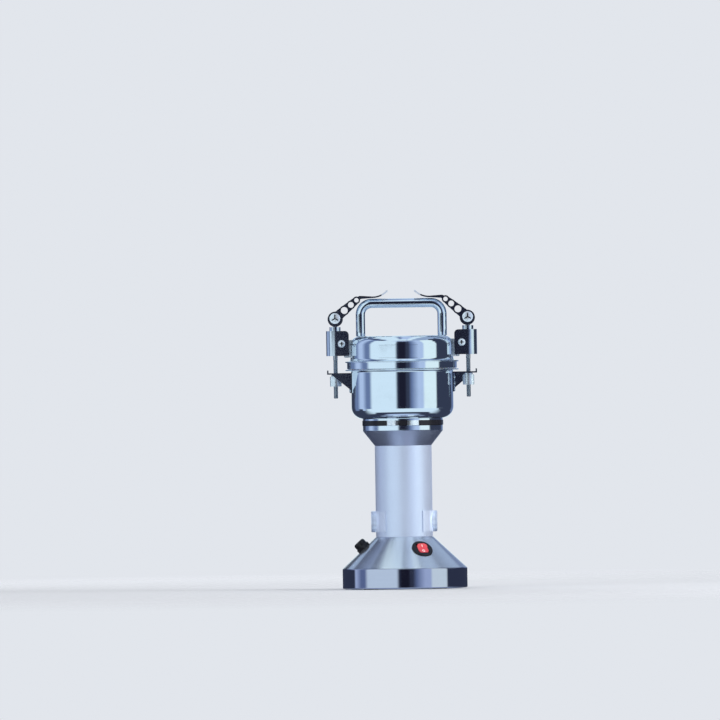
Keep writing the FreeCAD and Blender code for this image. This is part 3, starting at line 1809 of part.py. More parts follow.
pieces = {name: make() for name, make in fixed_pieces.items()}
for name, make in clamp_pieces.items():
    right = make()
    pieces["right_" + name] = right
    pieces["left_" + name] = mirrored(right)
right_bracket = make_right_bracket()
pieces["right_fork_bracket"] = right_bracket
pieces["left_fork_bracket"] = spun(right_bracket, 180)

for name, shape in pieces.items():
    shape.exportStep("parts/" + name + ".step")
    problems = "" if shape.isValid() else " INVALID"
    print(f"{name}: {len(shape.Solids)} solids, {shape.Volume:.1f} mm3{problems}")
print(len(pieces), "pieces, total height", round(max(s.BoundBox.ZMax for s in pieces.values()), 2))
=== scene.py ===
import json
import math

import bmesh
import bpy
import numpy as np
from bpy.props import FloatProperty, FloatVectorProperty, PointerProperty
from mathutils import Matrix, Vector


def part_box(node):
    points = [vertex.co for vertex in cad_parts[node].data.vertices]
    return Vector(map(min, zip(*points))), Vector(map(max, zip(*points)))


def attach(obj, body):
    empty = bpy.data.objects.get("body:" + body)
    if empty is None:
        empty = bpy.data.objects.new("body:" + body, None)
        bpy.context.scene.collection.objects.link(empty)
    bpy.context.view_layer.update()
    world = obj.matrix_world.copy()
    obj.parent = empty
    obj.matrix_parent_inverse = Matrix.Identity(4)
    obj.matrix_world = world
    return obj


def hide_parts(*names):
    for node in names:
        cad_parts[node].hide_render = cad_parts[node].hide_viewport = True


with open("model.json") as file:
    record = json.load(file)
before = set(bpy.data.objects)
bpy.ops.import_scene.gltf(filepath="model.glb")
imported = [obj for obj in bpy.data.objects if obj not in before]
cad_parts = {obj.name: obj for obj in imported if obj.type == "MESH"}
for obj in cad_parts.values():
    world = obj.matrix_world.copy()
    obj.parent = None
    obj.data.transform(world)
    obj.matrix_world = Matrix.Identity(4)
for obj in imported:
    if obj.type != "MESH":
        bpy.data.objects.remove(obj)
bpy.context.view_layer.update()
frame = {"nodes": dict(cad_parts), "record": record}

bl_info = {
    "name": "Electric spice grinder",
    "version": (1, 0, 0),
    "blender": (4, 5, 0),
    "location": "View3D > Sidebar > Grinder",
    "description": "Detailed surfaces and finishes over the grinder's solids",
    "category": "Object",
}

# The grinder stands on the floor with its motor shaft along Z and its front towards -Y.
# Lengths are metres. MM turns the millimetres of a drawing into them.
MM = 0.001
SIDES = {"left": -1, "right": 1}
FULL_TURN = 2 * math.pi
RIGHT_ANGLE = math.pi / 2


def top_of(node):
    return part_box(node)[1].z


def foot_of(node):
    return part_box(node)[0].z


def reach_of(node):
    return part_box(node)[1].x


def number(name, default, description, **limits):
    return FloatProperty(name=name, default=default, description=description, **limits)


def length(name, default, description):
    return number(name, default, description, subtype="DISTANCE", unit="LENGTH", precision=5)


def angle(name, degrees, description):
    return number(name, math.radians(degrees), description, subtype="ANGLE", unit="ROTATION")


def tint(name, default, description):
    return FloatVectorProperty(name=name, default=default, description=description,
                               subtype="COLOR", size=3, min=0.0, max=1.0)


# Sizes and colours
class BowlSizes(bpy.types.PropertyGroup):
    radius: length("Radius", 54.8 * MM, "Outside of the bowl's wall")
    wall: length("Wall", 1.2 * MM, "Thickness of the sheet")
    corner: length("Corner", 13 * MM, "Outer rounding between wall and floor")
    lip: length("Lip", reach_of("grinding_bowl"), "Outside of the rolled lip")
    lip_edge: length("Lip edge", 0.68 * MM, "Rounding of the lip's outer edge")
    lip_thickness: length("Lip thickness", 1.4 * MM, "Height of the lip")
    lip_fillet: length("Lip fillet", 2 * MM, "Rounding between wall and lip")
    rim_edge: length("Rim edge", 1 * MM, "Rounding where the lip turns into the bowl")
    neck: length("Neck", 9.05 * MM, "Hole for the shaft's seal")
    foot: length("Underside", foot_of("grinding_bowl"), "Height of the floor's underside")
    top: length("Top", top_of("grinding_bowl"), "Height of the lip's top")


class LidSizes(bpy.types.PropertyGroup):
    radius: length("Radius", 55.3 * MM, "Outside of the lid's wall")
    wall: length("Wall", 1.2 * MM, "Thickness of the sheet")
    band: length("Band", 59.1 * MM, "Outside of the band under the flange")
    flange: length("Flange", reach_of("lid"), "Outside of the flange")
    foot: length("Foot", 236.5 * MM, "Height of the band's lower edge")
    band_top: length("Band top", 243.3 * MM, "Height of the flange's underside")
    flange_top: length("Flange top", 244.8 * MM, "Height of the flange's top")
    shoulder: length("Shoulder", 9.7 * MM, "Rounding between wall and top")
    root: length("Root", 3.5 * MM, "Rounding between flange and wall")
    recess: length("Recess", 37 * MM, "Radius of the sunk middle")
    recess_slope: length("Recess slope", 1.2 * MM, "Width of the step into the middle")
    recess_depth: length("Recess depth", 0.8 * MM, "Depth of the sunk middle")
    top: length("Top", 271.8 * MM, "Height of the lid's top")
    spigot: length("Spigot", 53.3 * MM, "Outside of the ring that enters the bowl")
    spigot_wall: length("Spigot wall", 1 * MM, "Thickness of that ring")
    spigot_edge: length("Spigot edge", 0.3 * MM, "Rounding of that ring's lower edge")
    spigot_foot: length("Spigot foot", foot_of("lid"), "Height of that ring's lower edge")
    groove_inner: length("Groove inside", 54.85 * MM, "Inner wall of the gasket's groove")
    groove_outer: length("Groove outside", 57.85 * MM, "Outer wall of the gasket's groove")
    groove_depth: length("Groove depth", 3 * MM, "Depth of the gasket's groove")
    edge: length("Edge", 0.45 * MM, "Rounding of the sheet's edges")


class HandleSizes(bpy.types.PropertyGroup):
    bar: length("Bar", 5 * MM, "Radius of the round bar")
    bend: length("Bend", 12 * MM, "Radius of the bar's middle line in its bends")
    foot: length("Foot", foot_of("lid_handle"), "Height of the legs' lower ends")
    foot_edge: length("Foot edge", 0.5 * MM, "Rounding of the legs' lower ends")


class BaseSizes(bpy.types.PropertyGroup):
    skirt: length("Skirt", reach_of("base_skirt"), "Outside of the polished skirt")
    skirt_foot: length("Skirt foot", foot_of("base_skirt"), "Height of its lower edge")
    skirt_top: length("Skirt top", top_of("base_skirt"), "Height of its upper edge")
    skirt_wall: length("Skirt wall", 1.5 * MM, "Thickness of the sheet")
    skirt_rim: length("Skirt rim", 5 * MM, "Width of its turned-in rims")
    skirt_edge: length("Skirt edge", 0.9 * MM, "Rounding of its outer edges")
    plate_top: length("Plate top", 4 * MM, "Height of the bottom plate's top")
    foot_radius: length("Foot radius", 8 * MM, "Radius of a rubber foot")
    foot_height: length("Foot height", 2.5 * MM, "Height of a rubber foot")
    foot_groove: length("Foot groove", 0.6 * MM, "Depth of the groove and hollow under it")
    foot_circle: length("Foot circle", 52 * MM, "Distance of the feet from the middle")
    foot_stem: length("Foot stem", 3 * MM, "Radius of the stem in the plate")
    foot_barb: length("Foot barb", 3.9 * MM, "Radius of the barb over the plate")
    barb_height: length("Barb height", 2 * MM, "Height of the barb over the plate")
    cone_foot: length("Cone foot", 66.6 * MM, "Radius of the cone on the skirt")
    cone_neck: length("Cone neck", 31 * MM, "Radius of the cone under the column")
    cone_top: length("Cone top", 55.8 * MM, "Height of the cone's neck")


class ColumnSizes(bpy.types.PropertyGroup):
    radius: length("Radius", reach_of("motor_column"), "Outside of the motor column")
    wall: length("Wall", 1.5 * MM, "Thickness of the tube")
    foot: length("Foot", foot_of("motor_column"), "Height of the column's lower edge")
    top: length("Top", top_of("motor_column"), "Height of the column's upper edge")
    edge: length("Edge", 0.45 * MM, "Rounding of the tube's outer edges")


class SwitchSizes(bpy.types.PropertyGroup):
    azimuth: angle("Azimuth", -65.1, "Place of the switch round the cone")
    height: length("Height", 42.9 * MM, "Height of the switch on the cone")
    seat: length("Seat", 11.5 * MM, "Radius of the flat that the bezel sits on")
    pivot_depth: length("Pivot depth", 1 * MM, "Depth of the rocker's pin under the seat")
    drum: length("Drum", 7.4 * MM, "Radius of the rocker's round back")
    half_width: length("Half width", 5.9 * MM, "Half of the rocker's width")
    ridge: length("Ridge", 3.4 * MM, "Height of the middle ridge over the pin")
    dish: length("Dish", 0.3 * MM, "Hollow of each half of the rocker")
    corner: number("Corner", 0.7, "Share of the rocker's length that its corners take",
                   min=0.0, max=0.9)
    side_edge: length("Side edge", 0.55 * MM, "Rounding of the rocker's sides")
    tilt: angle("Tilt", 8, "Slope of each half, and lean of the rocker at rest")
    ring: length("Ring", 1.3 * MM, "Radius of the mark on the lower half")
    bar: length("Bar", 1.4 * MM, "Half of the length of the mark on the upper half")
    mark_place: number("Mark place", 0.55, "Place of the marks, as a share of a half's length",
                       min=0.3, max=0.8)
    mark_line: length("Mark line", 0.32 * MM, "Half of the width of the marks' lines")
    mark_rise: length("Mark rise", 0.06 * MM, "Height of the marks over the rocker")


class ClampSizes(bpy.types.PropertyGroup):
    rod: length("Rod", 2.4 * MM, "Outer radius of the rod and its thread")
    rod_place: length("Rod place", 71.3 * MM, "Distance of each rod from the middle")
    rod_chamfer: length("Rod chamfer", 0.7 * MM, "Chamfer of the rod's lower end")
    pitch: length("Pitch", 0.8 * MM, "Rise of the thread in one turn")
    thread: length("Thread depth", 0.38 * MM, "Depth of the thread")
    thread_top: length("Thread top", 247 * MM, "Height at which the thread runs out")
    nut_height: length("Nut height", 224 * MM, "Height of the adjusting nuts' middle")
    barrel_height: length("Barrel height", 291.3 * MM, "Height of the barrels' axes")
    screw_place: length("Screw place", 64.5 * MM, "Distance of the pivot screws' axes")
    screw_height: length("Screw height", 264 * MM, "Height of the pivot screws' axes")


class FinishColours(bpy.types.PropertyGroup):
    mirror: tint("Mirror steel", (0.78, 0.85, 0.94), "Polished sheet of bowl, lid and handle")
    polished: tint("Polished steel", (0.8, 0.87, 0.95), "Flange and plate under the bowl")
    skirt: tint("Skirt steel", (0.56, 0.57, 0.69), "Polished skirt of the base")
    satin: tint("Satin silver", (0.69, 0.77, 0.95), "Paint of the column")
    cone: tint("Spun silver", (0.83, 0.87, 0.94), "Spun finish of the cone")
    casting: tint("Grey casting", (0.62, 0.66, 0.82), "Paint of the funnel under the bowl")
    plated: tint("Plated steel", (0.72, 0.78, 0.86), "Clamp blocks, levers and brackets")
    nickel: tint("Satin nickel", (0.72, 0.8, 0.88), "Nuts, screws, barrels and lugs")
    zinc: tint("Zinc", (0.56, 0.59, 0.62), "Bottom plate")
    blade: tint("Blade steel", (0.66, 0.68, 0.7), "Blades")
    aluminium: tint("Aluminium", (0.6, 0.62, 0.64), "Bearing brackets")
    iron: tint("Iron", (0.27, 0.28, 0.3), "Stacked sheets of the motor")
    copper: tint("Copper", (0.78, 0.34, 0.16), "Enamelled wire and commutator")
    brass: tint("Brass", (0.83, 0.62, 0.28), "Terminals and brush holders")
    carbon: tint("Carbon", (0.035, 0.035, 0.04), "Brushes")
    black: tint("Black plastic", (0.009, 0.009, 0.013), "Switch body, gland and ring")
    red: tint("Red plastic", (0.6, 0.035, 0.05), "Rocker")
    mark: tint("Mark", (0.85, 0.83, 0.82), "Marks on the rocker")
    rubber: tint("Rubber", (0.02, 0.02, 0.022), "Feet and shaft seal")
    silicone: tint("Silicone", (0.75, 0.78, 0.8), "Gasket of the lid")
    sleeve: tint("Sleeve", (0.05, 0.05, 0.06), "Sleeves of the inner leads")
    floor: tint("Floor", (0.58, 0.6, 0.64), "Floor under the grinder")


class StageSettings(bpy.types.PropertyGroup):
    distance: length("Distance", 20.0, "Distance of the camera from the grinder's middle")
    frame_width: length("Frame width", 0.7735, "Width that the picture spans at the grinder")
    roll: angle("Roll", 0.86, "Lean of the camera to the right")
    across: number("Across", 0.5629, "Place of the base's middle, as a share of the width")
    down: number("Down", 0.8176, "Place of the base's foot, as a share of the height")
    floor_radius: length("Floor radius", 1.6, "Radius at which the floor has faded out")
    wall_radius: length("Wall radius", 0.7, "Radius of the studio wall seen in the steel")
    wall_height: length("Wall height", 1.05, "Height of that wall")
    pit: length("Pit", 0.03, "Depth of the cards under the floor that the steel sees")
    black_card: tint("Black card", (0.014, 0.015, 0.03), "Straight in front of the grinder")
    dark_card: tint("Dark card", (0.04, 0.05, 0.085), "Dark part of the wall")
    dusk_card: tint("Dusk card", (0.16, 0.22, 0.38), "Half dark part of the wall")
    half_card: tint("Half card", (0.33, 0.43, 0.6), "Even part of the wall and the ceiling")
    mid_card: tint("Middle card", (0.5, 0.62, 0.84), "Half bright part of the wall")
    bright_card: tint("Bright card", (0.76, 0.92, 1.0), "Bright part of the wall")
    white_card: tint("White card", (0.85, 1.0, 1.0), "Brightest part of the wall")
    backdrop: tint("Backdrop", (0.76, 0.79, 0.84), "Plain pale background")
    sky: number("Sky", 0.36, "Soft light from all round", min=0.0)
    lamps: number("Lamps", 1.0, "Strength of the lamps", min=0.0)


GROUPS = {
    "grinder_bowl": BowlSizes,
    "grinder_lid": LidSizes,
    "grinder_handle": HandleSizes,
    "grinder_base": BaseSizes,
    "grinder_column": ColumnSizes,
    "grinder_switch": SwitchSizes,
    "grinder_clamps": ClampSizes,
    "grinder_colours": FinishColours,
    "grinder_stage": StageSettings,
}


# Surfaces
def supported(points, closed, gap=0.15 * MM):
    """Run of points with two more on each long stretch, a gap from its ends.

    They keep the lean of the rounding's normals off the flat beside it.
    """
    stretch = np.roll(points, -1, 0) - points
    size = np.linalg.norm(stretch, axis=1)
    long = size > 6 * gap
    if not closed:
        long[-1] = False
    step = stretch * (gap / np.maximum(size, gap))[:, None]
    more = np.stack([points, points + step, points + stretch - step], axis=1)
    kept = np.stack([long | True, long, long], axis=1)
    return more[kept]


def rounded(corners, steps, closed=True):
    """Run through corners given as (across, up) or (across, up, rounding), as an array of points.

    A rounded corner becomes an arc that touches both of its runs. With h half of the angle
    between them, its ends lie rounding / tan h from the corner and its centre lies
    rounding / sin h along the bisector. With p and q the ends seen from the centre and w the
    arc's turn, its points are centre + (sin((1 - t) w) p + sin(t w) q) / sin w, t from 0 to 1.
    """
    places = np.array([corner[:2] for corner in corners], float)
    t = np.linspace(0, 1, steps + 1)[:, None]
    runs = []
    for i, corner in enumerate(corners):
        here = places[i]
        if len(corner) < 3:
            runs.append(here[None])
            continue
        back = places[i - 1] - here
        ahead = places[(i + 1) % len(places)] - here
        back = back / np.linalg.norm(back)
        ahead = ahead / np.linalg.norm(ahead)
        half = math.acos(back @ ahead) / 2
        bisector = (back + ahead) / np.linalg.norm(back + ahead)
        centre = here + bisector * corner[2] / math.sin(half)
        p = here + back * corner[2] / math.tan(half) - centre
        q = here + ahead * corner[2] / math.tan(half) - centre
        turn = math.pi - 2 * half
        arc = (np.sin((1 - t) * turn) * p + np.sin(t * turn) * q) / math.sin(turn)
        runs.append(centre + arc)
    return supported(np.concatenate(runs), closed)


def round_angles(count):
    return np.linspace(0, FULL_TURN, count, endpoint=False)


def grid_faces(rows, columns, close_rows=False):
    """Quads between the neighbours of a grid of points whose columns close on themselves."""
    row = np.arange(rows if close_rows else rows - 1)[:, None]
    column = np.arange(columns)[None]
    after = (row + 1) % rows
    beside = (column + 1) % columns
    corners = (row * columns + column, row * columns + beside,
               after * columns + beside, after * columns + column)
    return np.stack(np.broadcast_arrays(*corners), axis=-1).reshape(-1, 4)


def turned_points(profile, sides):
    """Grid of the profile turned about Z: (r cos a, r sin a, h) for its points (r, h)."""
    a = round_angles(sides)
    r, h = np.asarray(profile).T[:, :, None]
    return np.stack([r * np.cos(a), r * np.sin(a), h + 0 * a], axis=-1)


def placed(points, matrix):
    """Points moved by a 4 by 4 matrix: its turning part times the point, plus its shift."""
    return points @ matrix[:3, :3].T + matrix[:3, 3]


def new_object(name, mesh, finish):
    mesh.materials.append(bpy.data.materials[finish])
    made = bpy.data.objects.new(name, mesh)
    bpy.context.scene.collection.objects.link(made)
    return made


def new_piece(name, grids, body, slot, replaced=(), finish=None, sharp=35):
    """Closed piece from grids of points, each given with whether its rows close on themselves.

    Its finish is that of its slot where no other is named.
    """
    points = []
    faces = []
    count = 0
    for grid, close_rows in grids:
        rows, columns = grid.shape[:2]
        faces.append(grid_faces(rows, columns, close_rows) + count)
        points.append(grid.reshape(-1, 3))
        count += rows * columns
    mesh = bpy.data.meshes.new(name)
    mesh.from_pydata(np.concatenate(points).tolist(), [], np.concatenate(faces).tolist())
    work = bmesh.new()
    work.from_mesh(mesh)
    bmesh.ops.remove_doubles(work, verts=work.verts, dist=1e-7)
    bmesh.ops.recalc_face_normals(work, faces=work.faces)
    work.to_mesh(mesh)
    work.free()
    mesh.shade_smooth()
    mesh.set_sharp_from_angle(angle=math.radians(sharp))
    piece = new_object(name, mesh, finish or slot)
    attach(piece, body)
    if replaced:
        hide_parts(*replaced)


def cone_seat(base, azimuth, height, seat_radius, clearance=0.05 * MM):
    """Matrix of a flat seat on the cone, with its Z outwards and its Y up the slope.

    The seat lies seat_radius squared / (2 bend) under the cone's surface, where bend is the
    cone's radius there divided by the cosine of its slope, plus a small clearance.
    """
    slope = math.atan2(base.cone_foot - base.cone_neck, base.cone_top - base.skirt_top)
    radius = base.cone_foot - (height - base.skirt_top) * math.tan(slope)
    depth = seat_radius ** 2 * math.cos(slope) / (2 * radius) + clearance
    outward = np.array([math.cos(azimuth), math.sin(azimuth), 0])
    up = np.array([0, 0, 1])
    normal = outward * math.cos(slope) + up * math.sin(slope)
    along = up * math.cos(slope) - outward * math.sin(slope)
    place = outward * radius + up * height - normal * depth
    matrix = np.eye(4)
    matrix[:3] = np.column_stack([np.cross(along, normal), along, normal, place])
    return matrix


def leaned(lean):
    """Matrix that turns points about X by the lean."""
    matrix = np.eye(4)
    matrix[1:3, 1:3] = [[math.cos(lean), -math.sin(lean)], [math.sin(lean), math.cos(lean)]]
    return matrix


def bar_points(path, heading, radius, sides, edge):
    """Round bar along a path in the XZ plane, with rounded ends.

    With the heading (c, s) at a point of the path and the angle a round the bar, the surface is
    point + radius (cos a (-s, 0, c) + sin a (0, 1, 0)). At its ends the bar narrows by
    edge (1 - cos b) while it goes on by edge sin b, b from 0 to a right angle, and then closes.
    """
    b = np.linspace(0, RIGHT_ANGLE, 5)
    grow = edge * np.sin(b)[:, None]
    start = path[:1] + heading[:1] * (edge - grow[::-1])
    end = path[-1:] - heading[-1:] * (edge - grow)
    line = np.concatenate([path[:1], start, path[1:-1], end, path[-1:]])
    way = np.concatenate([np.repeat(heading[:1], len(b) + 1, 0), heading[1:-1],
                          np.repeat(heading[-1:], len(b) + 1, 0)])
    narrow = radius - edge * (1 - np.cos(b))
    middle = np.full(len(path) - 2, radius)
    size = np.concatenate([[0], narrow[::-1], middle, narrow, [0]])[:, None]
    a = round_angles(sides)
    x = line[:, 0, None] - way[:, 1, None] * size * np.cos(a)
    z = line[:, 1, None] + way[:, 0, None] * size * np.cos(a)
    return np.stack([x, size * np.sin(a), z], axis=-1)


def thread_points(size, foot, top, sides=24):
    """Rod about Z whose lower part carries a thread.

    At height z and angle a its radius is rod - thread w^1.5 g, where w is
    (1 - cos(2 pi z / pitch - a)) / 2 and g fades from 1 to 0 over one pitch below thread_top.
    At the foot the rod is cut back by a chamfer under 45 degrees.
    """
    threaded = np.arange(foot, size.thread_top + size.pitch, size.pitch / 8)
    z = np.concatenate([[foot], threaded, [top, top]])[:, None]
    a = round_angles(sides)
    wave = (1 - np.cos(FULL_TURN * z / size.pitch - a)) / 2
    fade = np.clip((size.thread_top - z) / size.pitch, 0, 1)
    r = size.rod - size.thread * wave ** 1.5 * fade
    r = np.minimum(r, size.rod - size.rod_chamfer + np.clip(z - foot, 0, size.rod_chamfer))
    r[0] = 0
    r[-1] = 0
    return np.stack([r * np.cos(a), r * np.sin(a), z + 0 * a], axis=-1)


# Finishes
def arithmetic(operation, swapped=False):
    """Method of a Wire for the operation, with the Wire on the right where it is swapped."""
    def method(wire, other=0.0):
        return wire.shader.math(operation, *((other, wire) if swapped else (wire, other)))
    return method


class Wire:
    """An output of a shader node. Arithmetic on it adds Math nodes beside it."""

    def __init__(self, shader, socket):
        self.shader = shader
        self.socket = socket

    __add__ = arithmetic("ADD")
    __radd__ = arithmetic("ADD", True)
    __sub__ = arithmetic("SUBTRACT")
    __rsub__ = arithmetic("SUBTRACT", True)
    __mul__ = arithmetic("MULTIPLY")
    __rmul__ = arithmetic("MULTIPLY", True)
    __truediv__ = arithmetic("DIVIDE")
    __pow__ = arithmetic("POWER")
    __abs__ = arithmetic("ABSOLUTE")


class Shader:
    """The nodes of one material or of the world."""

    def __init__(self, tree):
        self.tree = tree
        tree.nodes.clear()

    def node(self, kind, settings=None, inputs=None, output=0):
        """Adds a node: its settings first, then its inputs by name or number, as Wires or values."""
        made = self.tree.nodes.new(kind)
        for name, value in (settings or {}).items():
            if name == "stops":
                self.set_stops(made.color_ramp, value)
            else:
                setattr(made, name, value)
        for name, value in (inputs or {}).items():
            if isinstance(value, Wire):
                self.tree.links.new(value.socket, made.inputs[name])
            else:
                made.inputs[name].default_value = value
        if not made.outputs:
            return None
        return Wire(self, made.outputs[output])

    def set_stops(self, ramp, stops):
        while len(ramp.elements) < len(stops):
            ramp.elements.new(1.0)
        for element, (place, colour) in zip(ramp.elements, stops):
            element.position = place
            element.color = (*colour, 1)

    def math(self, operation, first, second=0.0):
        return self.node("ShaderNodeMath", {"operation": operation}, {0: first, 1: second})

    def place(self):
        """The point on the piece, in metres, which stays with it as it moves."""
        return self.node("ShaderNodeTexCoord", output="Object")

    def parts(self, vector=None):
        """The three parts of a vector or colour, and of the place where none is given."""
        split = self.node("ShaderNodeSeparateXYZ", inputs={0: vector or self.place()})
        return [Wire(self, socket) for socket in split.socket.node.outputs]

    def vector(self, x, y, z):
        return self.node("ShaderNodeCombineXYZ", inputs={0: x, 1: y, 2: z})

    def noise(self, vector, detail=2.0, roughness=0.5, scale=1.0):
        return self.node("ShaderNodeTexNoise", inputs={
            "Vector": vector, "Scale": scale, "Detail": detail, "Roughness": roughness})

    def grain(self, scale, detail=2.0, roughness=0.5):
        """Even noise over the piece, with about as many spots in a metre as the scale says."""
        return self.noise(self.place(), detail, roughness, scale)

    def patches(self, scale, low, high, detail=4.0, roughness=0.6):
        """1 where such noise is high, 0 where it is low, and a soft edge from low to high."""
        return self.fit(self.grain(scale, detail, roughness), low, high)

    def blend(self, factor, first, second):
        """Colour between two colours."""
        colours = [value if isinstance(value, Wire) else (*value, 1) for value in (first, second)]
        return self.node("ShaderNodeMix", {"data_type": "RGBA"},
                         {0: factor, 6: colours[0], 7: colours[1]}, output=2)

    def fit(self, value, low, high, to_low=0.0, to_high=1.0):
        return self.node("ShaderNodeMapRange", {"interpolation_type": "SMOOTHSTEP"}, {
            "Value": value, "From Min": low, "From Max": high,
            "To Min": to_low, "To Max": to_high})

    def below(self, value, low, high):
        """1 up to low and 0 from high on, with a soft edge between."""
        return self.fit(value, low, high, 1.0, 0.0)

    def window(self, value, low, high, soft=0.012):
        """1 where the value lies between low and high, with soft ends inside them."""
        return self.fit(value, low, low + soft) * self.below(value, high - soft, high)

    def bump(self, height, depth, strength=0.5, **more):
        """Normal of a surface whose height runs from 0 to 1 over the depth in metres."""
        return self.node("ShaderNodeBump", inputs={
            "Strength": strength, "Distance": depth, "Height": height, **more})

    def surface(self, colour, metallic, roughness, normal, **more):
        """Ends the material in a Principled shader. The names of more inputs have underscores."""
        inputs = {name.replace("_", " "): value for name, value in more.items()}
        inputs.update({"Base Color": colour, "Metallic": metallic, "Roughness": roughness,
                       "Normal": normal})
        self.output("Material", self.node("ShaderNodeBsdfPrincipled", inputs=inputs))

    def output(self, kind, light):
        self.node(f"ShaderNodeOutput{kind}", inputs={"Surface": light})


def new_finish(name):
    """The empty nodes of a new material."""
    material = bpy.data.materials.new(name)
    material.use_nodes = True
    return Shader(material.node_tree)


def darker(colour, by):
    return tuple(channel * (1 - by) for channel in colour)


def distance(a, b):
    return (a * a + b * b) ** 0.5


def around_shaft(s, scale):
    """Coordinates that change fast with radius and height and slowly round the shaft."""
    x, y, z = s.parts()
    return s.vector(distance(x, y) * scale, z * scale, x * 30 + y * 47)


def spun_steel(s, colour, roughness, line_depth, handling, recess=None):
    """Polished sheet: fine spinning lines round the shaft, faint waves and finger marks.

    Within the radius and over the height that the recess gives, it is only brushed.
    """
    lines = s.noise(around_shaft(s, 2600), 1.0)
    bands = s.noise(around_shaft(s, 240))
    marks = s.patches(55, 0.5, 0.72, 4.0, 0.62)
    height = lines * 0.5 + bands * 0.3 + s.grain(26, 1.0) * 0.2
    worn = marks * handling + lines * handling * 0.5
    if recess:
        radius, floor = recess
        x, y, z = s.parts()
        inside = s.below(distance(x, y), radius - 0.5 * MM, radius)
        worn = worn + inside * s.fit(z, floor - 0.5 * MM, floor) * (lines * 0.1 + 0.42)
    tone = s.blend(bands * 0.5 + marks * 0.4, colour, darker(colour, 0.07))
    s.surface(tone, 1.0, roughness + worn, s.bump(height, line_depth))


def satin_paint(s, colour, roughness, metallic, grain, painted_light_from=None):
    """Silver paint: tiny flakes, a soft orange-peel skin and slightly worn, dusty areas.

    Further than the given distance from the plane of the shaft, its colour is painted paler:
    a painted highlight where light falls on the bosses' outer faces.
    """
    flakes = s.grain(2600, 2.0, 0.7)
    dust = s.patches(21, 0.42, 0.75)
    shade = s.blend(s.fit(flakes, 0.35, 0.65), darker(colour, 0.1), colour)
    if painted_light_from:
        # Painted light: the part further out is coloured paler.
        painted_light_mask = s.fit(abs(s.parts()[0]), painted_light_from, painted_light_from + MM)
        shade = s.blend(painted_light_mask, shade, darker(colour, -0.18))
    s.surface(s.blend(dust * 0.5, shade, darker(colour, 0.08)), metallic,
              roughness + dust * 0.08 + flakes * 0.06,
              s.bump(flakes * 0.35 + s.grain(420) * 0.65, grain, 0.6))


def spun_paint(s, colour, roughness):
    """Spun aluminium under thin lacquer: fine rings round the shaft that spread its shine."""
    rings = s.noise(around_shaft(s, 2200), 3.0, 0.6)
    broad = s.noise(around_shaft(s, 160))
    dust = s.patches(24, 0.45, 0.75)
    tone = s.blend(rings * 0.6 + broad * 0.4, darker(colour, 0.06), colour)
    s.surface(tone, 0.95, roughness + rings * 0.05 + dust * 0.04,
              s.bump(rings * 0.5 + broad * 0.5, 0.002 * MM),
              Anisotropic=0.85, Anisotropic_Rotation=0.25)


def clouded(s, colour):
    """Clouds on bright plate, and its colour, which is a little darker under them."""
    clouds = s.grain(70, 4.0, 0.6)
    return clouds, s.blend(s.fit(clouds, 0.35, 0.7), colour, darker(colour, 0.1))


def plated_sheet(s, colour, roughness, metallic=1.0, middle=None, dome=None, recess=None):
    """Bright plated steel: clouded patches, faint rolling lines and fine scratches.

    The middle is that of a face that looks along Y, on both sides of the grinder. A dome makes
    the face bulge, with the height 1 - (a squared + upright b squared) / radius squared, where
    a and b are the distances across and above the middle. With upright at 0 it is the side of
    a barrel. A recess gets painted shade: within its radius and nearer than its floor along Y,
    the colour is painted near black, fading back out up to its rim.
    """
    x, y, z = s.parts()
    clouds, tone = clouded(s, colour)
    rolled = s.noise(s.vector(x * 320, y * 320, z * 2100))
    scratch = s.fit(s.noise(s.vector(x * 160, y * 900, z * 3200), 3.0), 0.62, 0.7)
    normal = s.bump(rolled * 0.5 + clouds * 0.5, 0.002 * MM)
    if middle:
        across = abs(x) - middle[0]
        above = z - middle[1]
    if recess:
        # Painted shade: the inside of the recess is coloured near black.
        radius, rim, floor = recess
        inside = s.below(distance(across, above), radius * 0.9, radius)
        dark = s.below(abs(y), floor, rim) * inside
        tone = s.blend(dark, tone, (0.02, 0.022, 0.03))
    if dome:
        radius, depth, upright = dome
        height = 1 - (across * across + above * above * upright) / radius ** 2
        normal = s.bump(height, depth, 1.0, Normal=normal)
    s.surface(tone, metallic, roughness + clouds * 0.03 + scratch * 0.04, normal)


def tipped_sheet(s, colour, roughness, reach):
    """Bright plated steel whose end within the reach of the shaft's plane is painted pale, less
    metallic and rougher, as a painted highlight on the curled tip.
    """
    clouds, tone = clouded(s, colour)
    # Painted highlight: the tip is coloured pale grey-blue.
    painted_tip_highlight = s.below(abs(s.parts()[0]) + clouds * MM, reach, reach + 2 * MM)
    s.surface(s.blend(painted_tip_highlight, tone, (0.4, 0.46, 0.56)), 1 - painted_tip_highlight,
              roughness + clouds * 0.03 + painted_tip_highlight * 0.2, s.bump(clouds, 0.002 * MM))


def drawn_bar(s, colour, roughness):
    """Polished drawn bar: a soft shine with faint waves and a few dull finger marks."""
    waves = s.grain(34)
    marks = s.patches(75, 0.5, 0.72, 4.0, 0.62)
    tone = s.blend(waves * 0.5 + marks * 0.3, colour, darker(colour, 0.08))
    s.surface(tone, 1.0, roughness + marks * 0.02, s.bump(waves, 0.004 * MM))


def zinc_coat(s, colour):
    """Zinc coat: crystals of differing brightness with a faint edge between them."""
    crystal = s.node("ShaderNodeTexVoronoi", {"feature": "F1"},
                     {"Vector": s.place(), "Scale": 190.0}, output="Color")
    tone = s.parts(crystal)[0]
    fine = s.grain(900, 3.0)
    colour = s.blend(tone * 0.6 + fine * 0.3, colour, darker(colour, 0.25))
    s.surface(colour, 1.0, 0.34 + tone * 0.16 + fine * 0.06, s.bump(fine, 0.02 * MM))


def ground_steel(s, colour, scale=(2400, 260, 2400)):
    """Ground steel: close parallel grinding marks, some of them deeper."""
    stretched = s.vector(*[part * size for part, size in zip(s.parts(), scale)])
    marks = s.noise(stretched, 3.0, 0.65)
    deep = s.fit(marks, 0.6, 0.72)
    tone = s.blend(marks, colour, darker(colour, 0.22))
    s.surface(tone, 1.0, 0.22 + marks * 0.18, s.bump(marks * 0.7 - deep * 0.5, 0.03 * MM, 0.6))


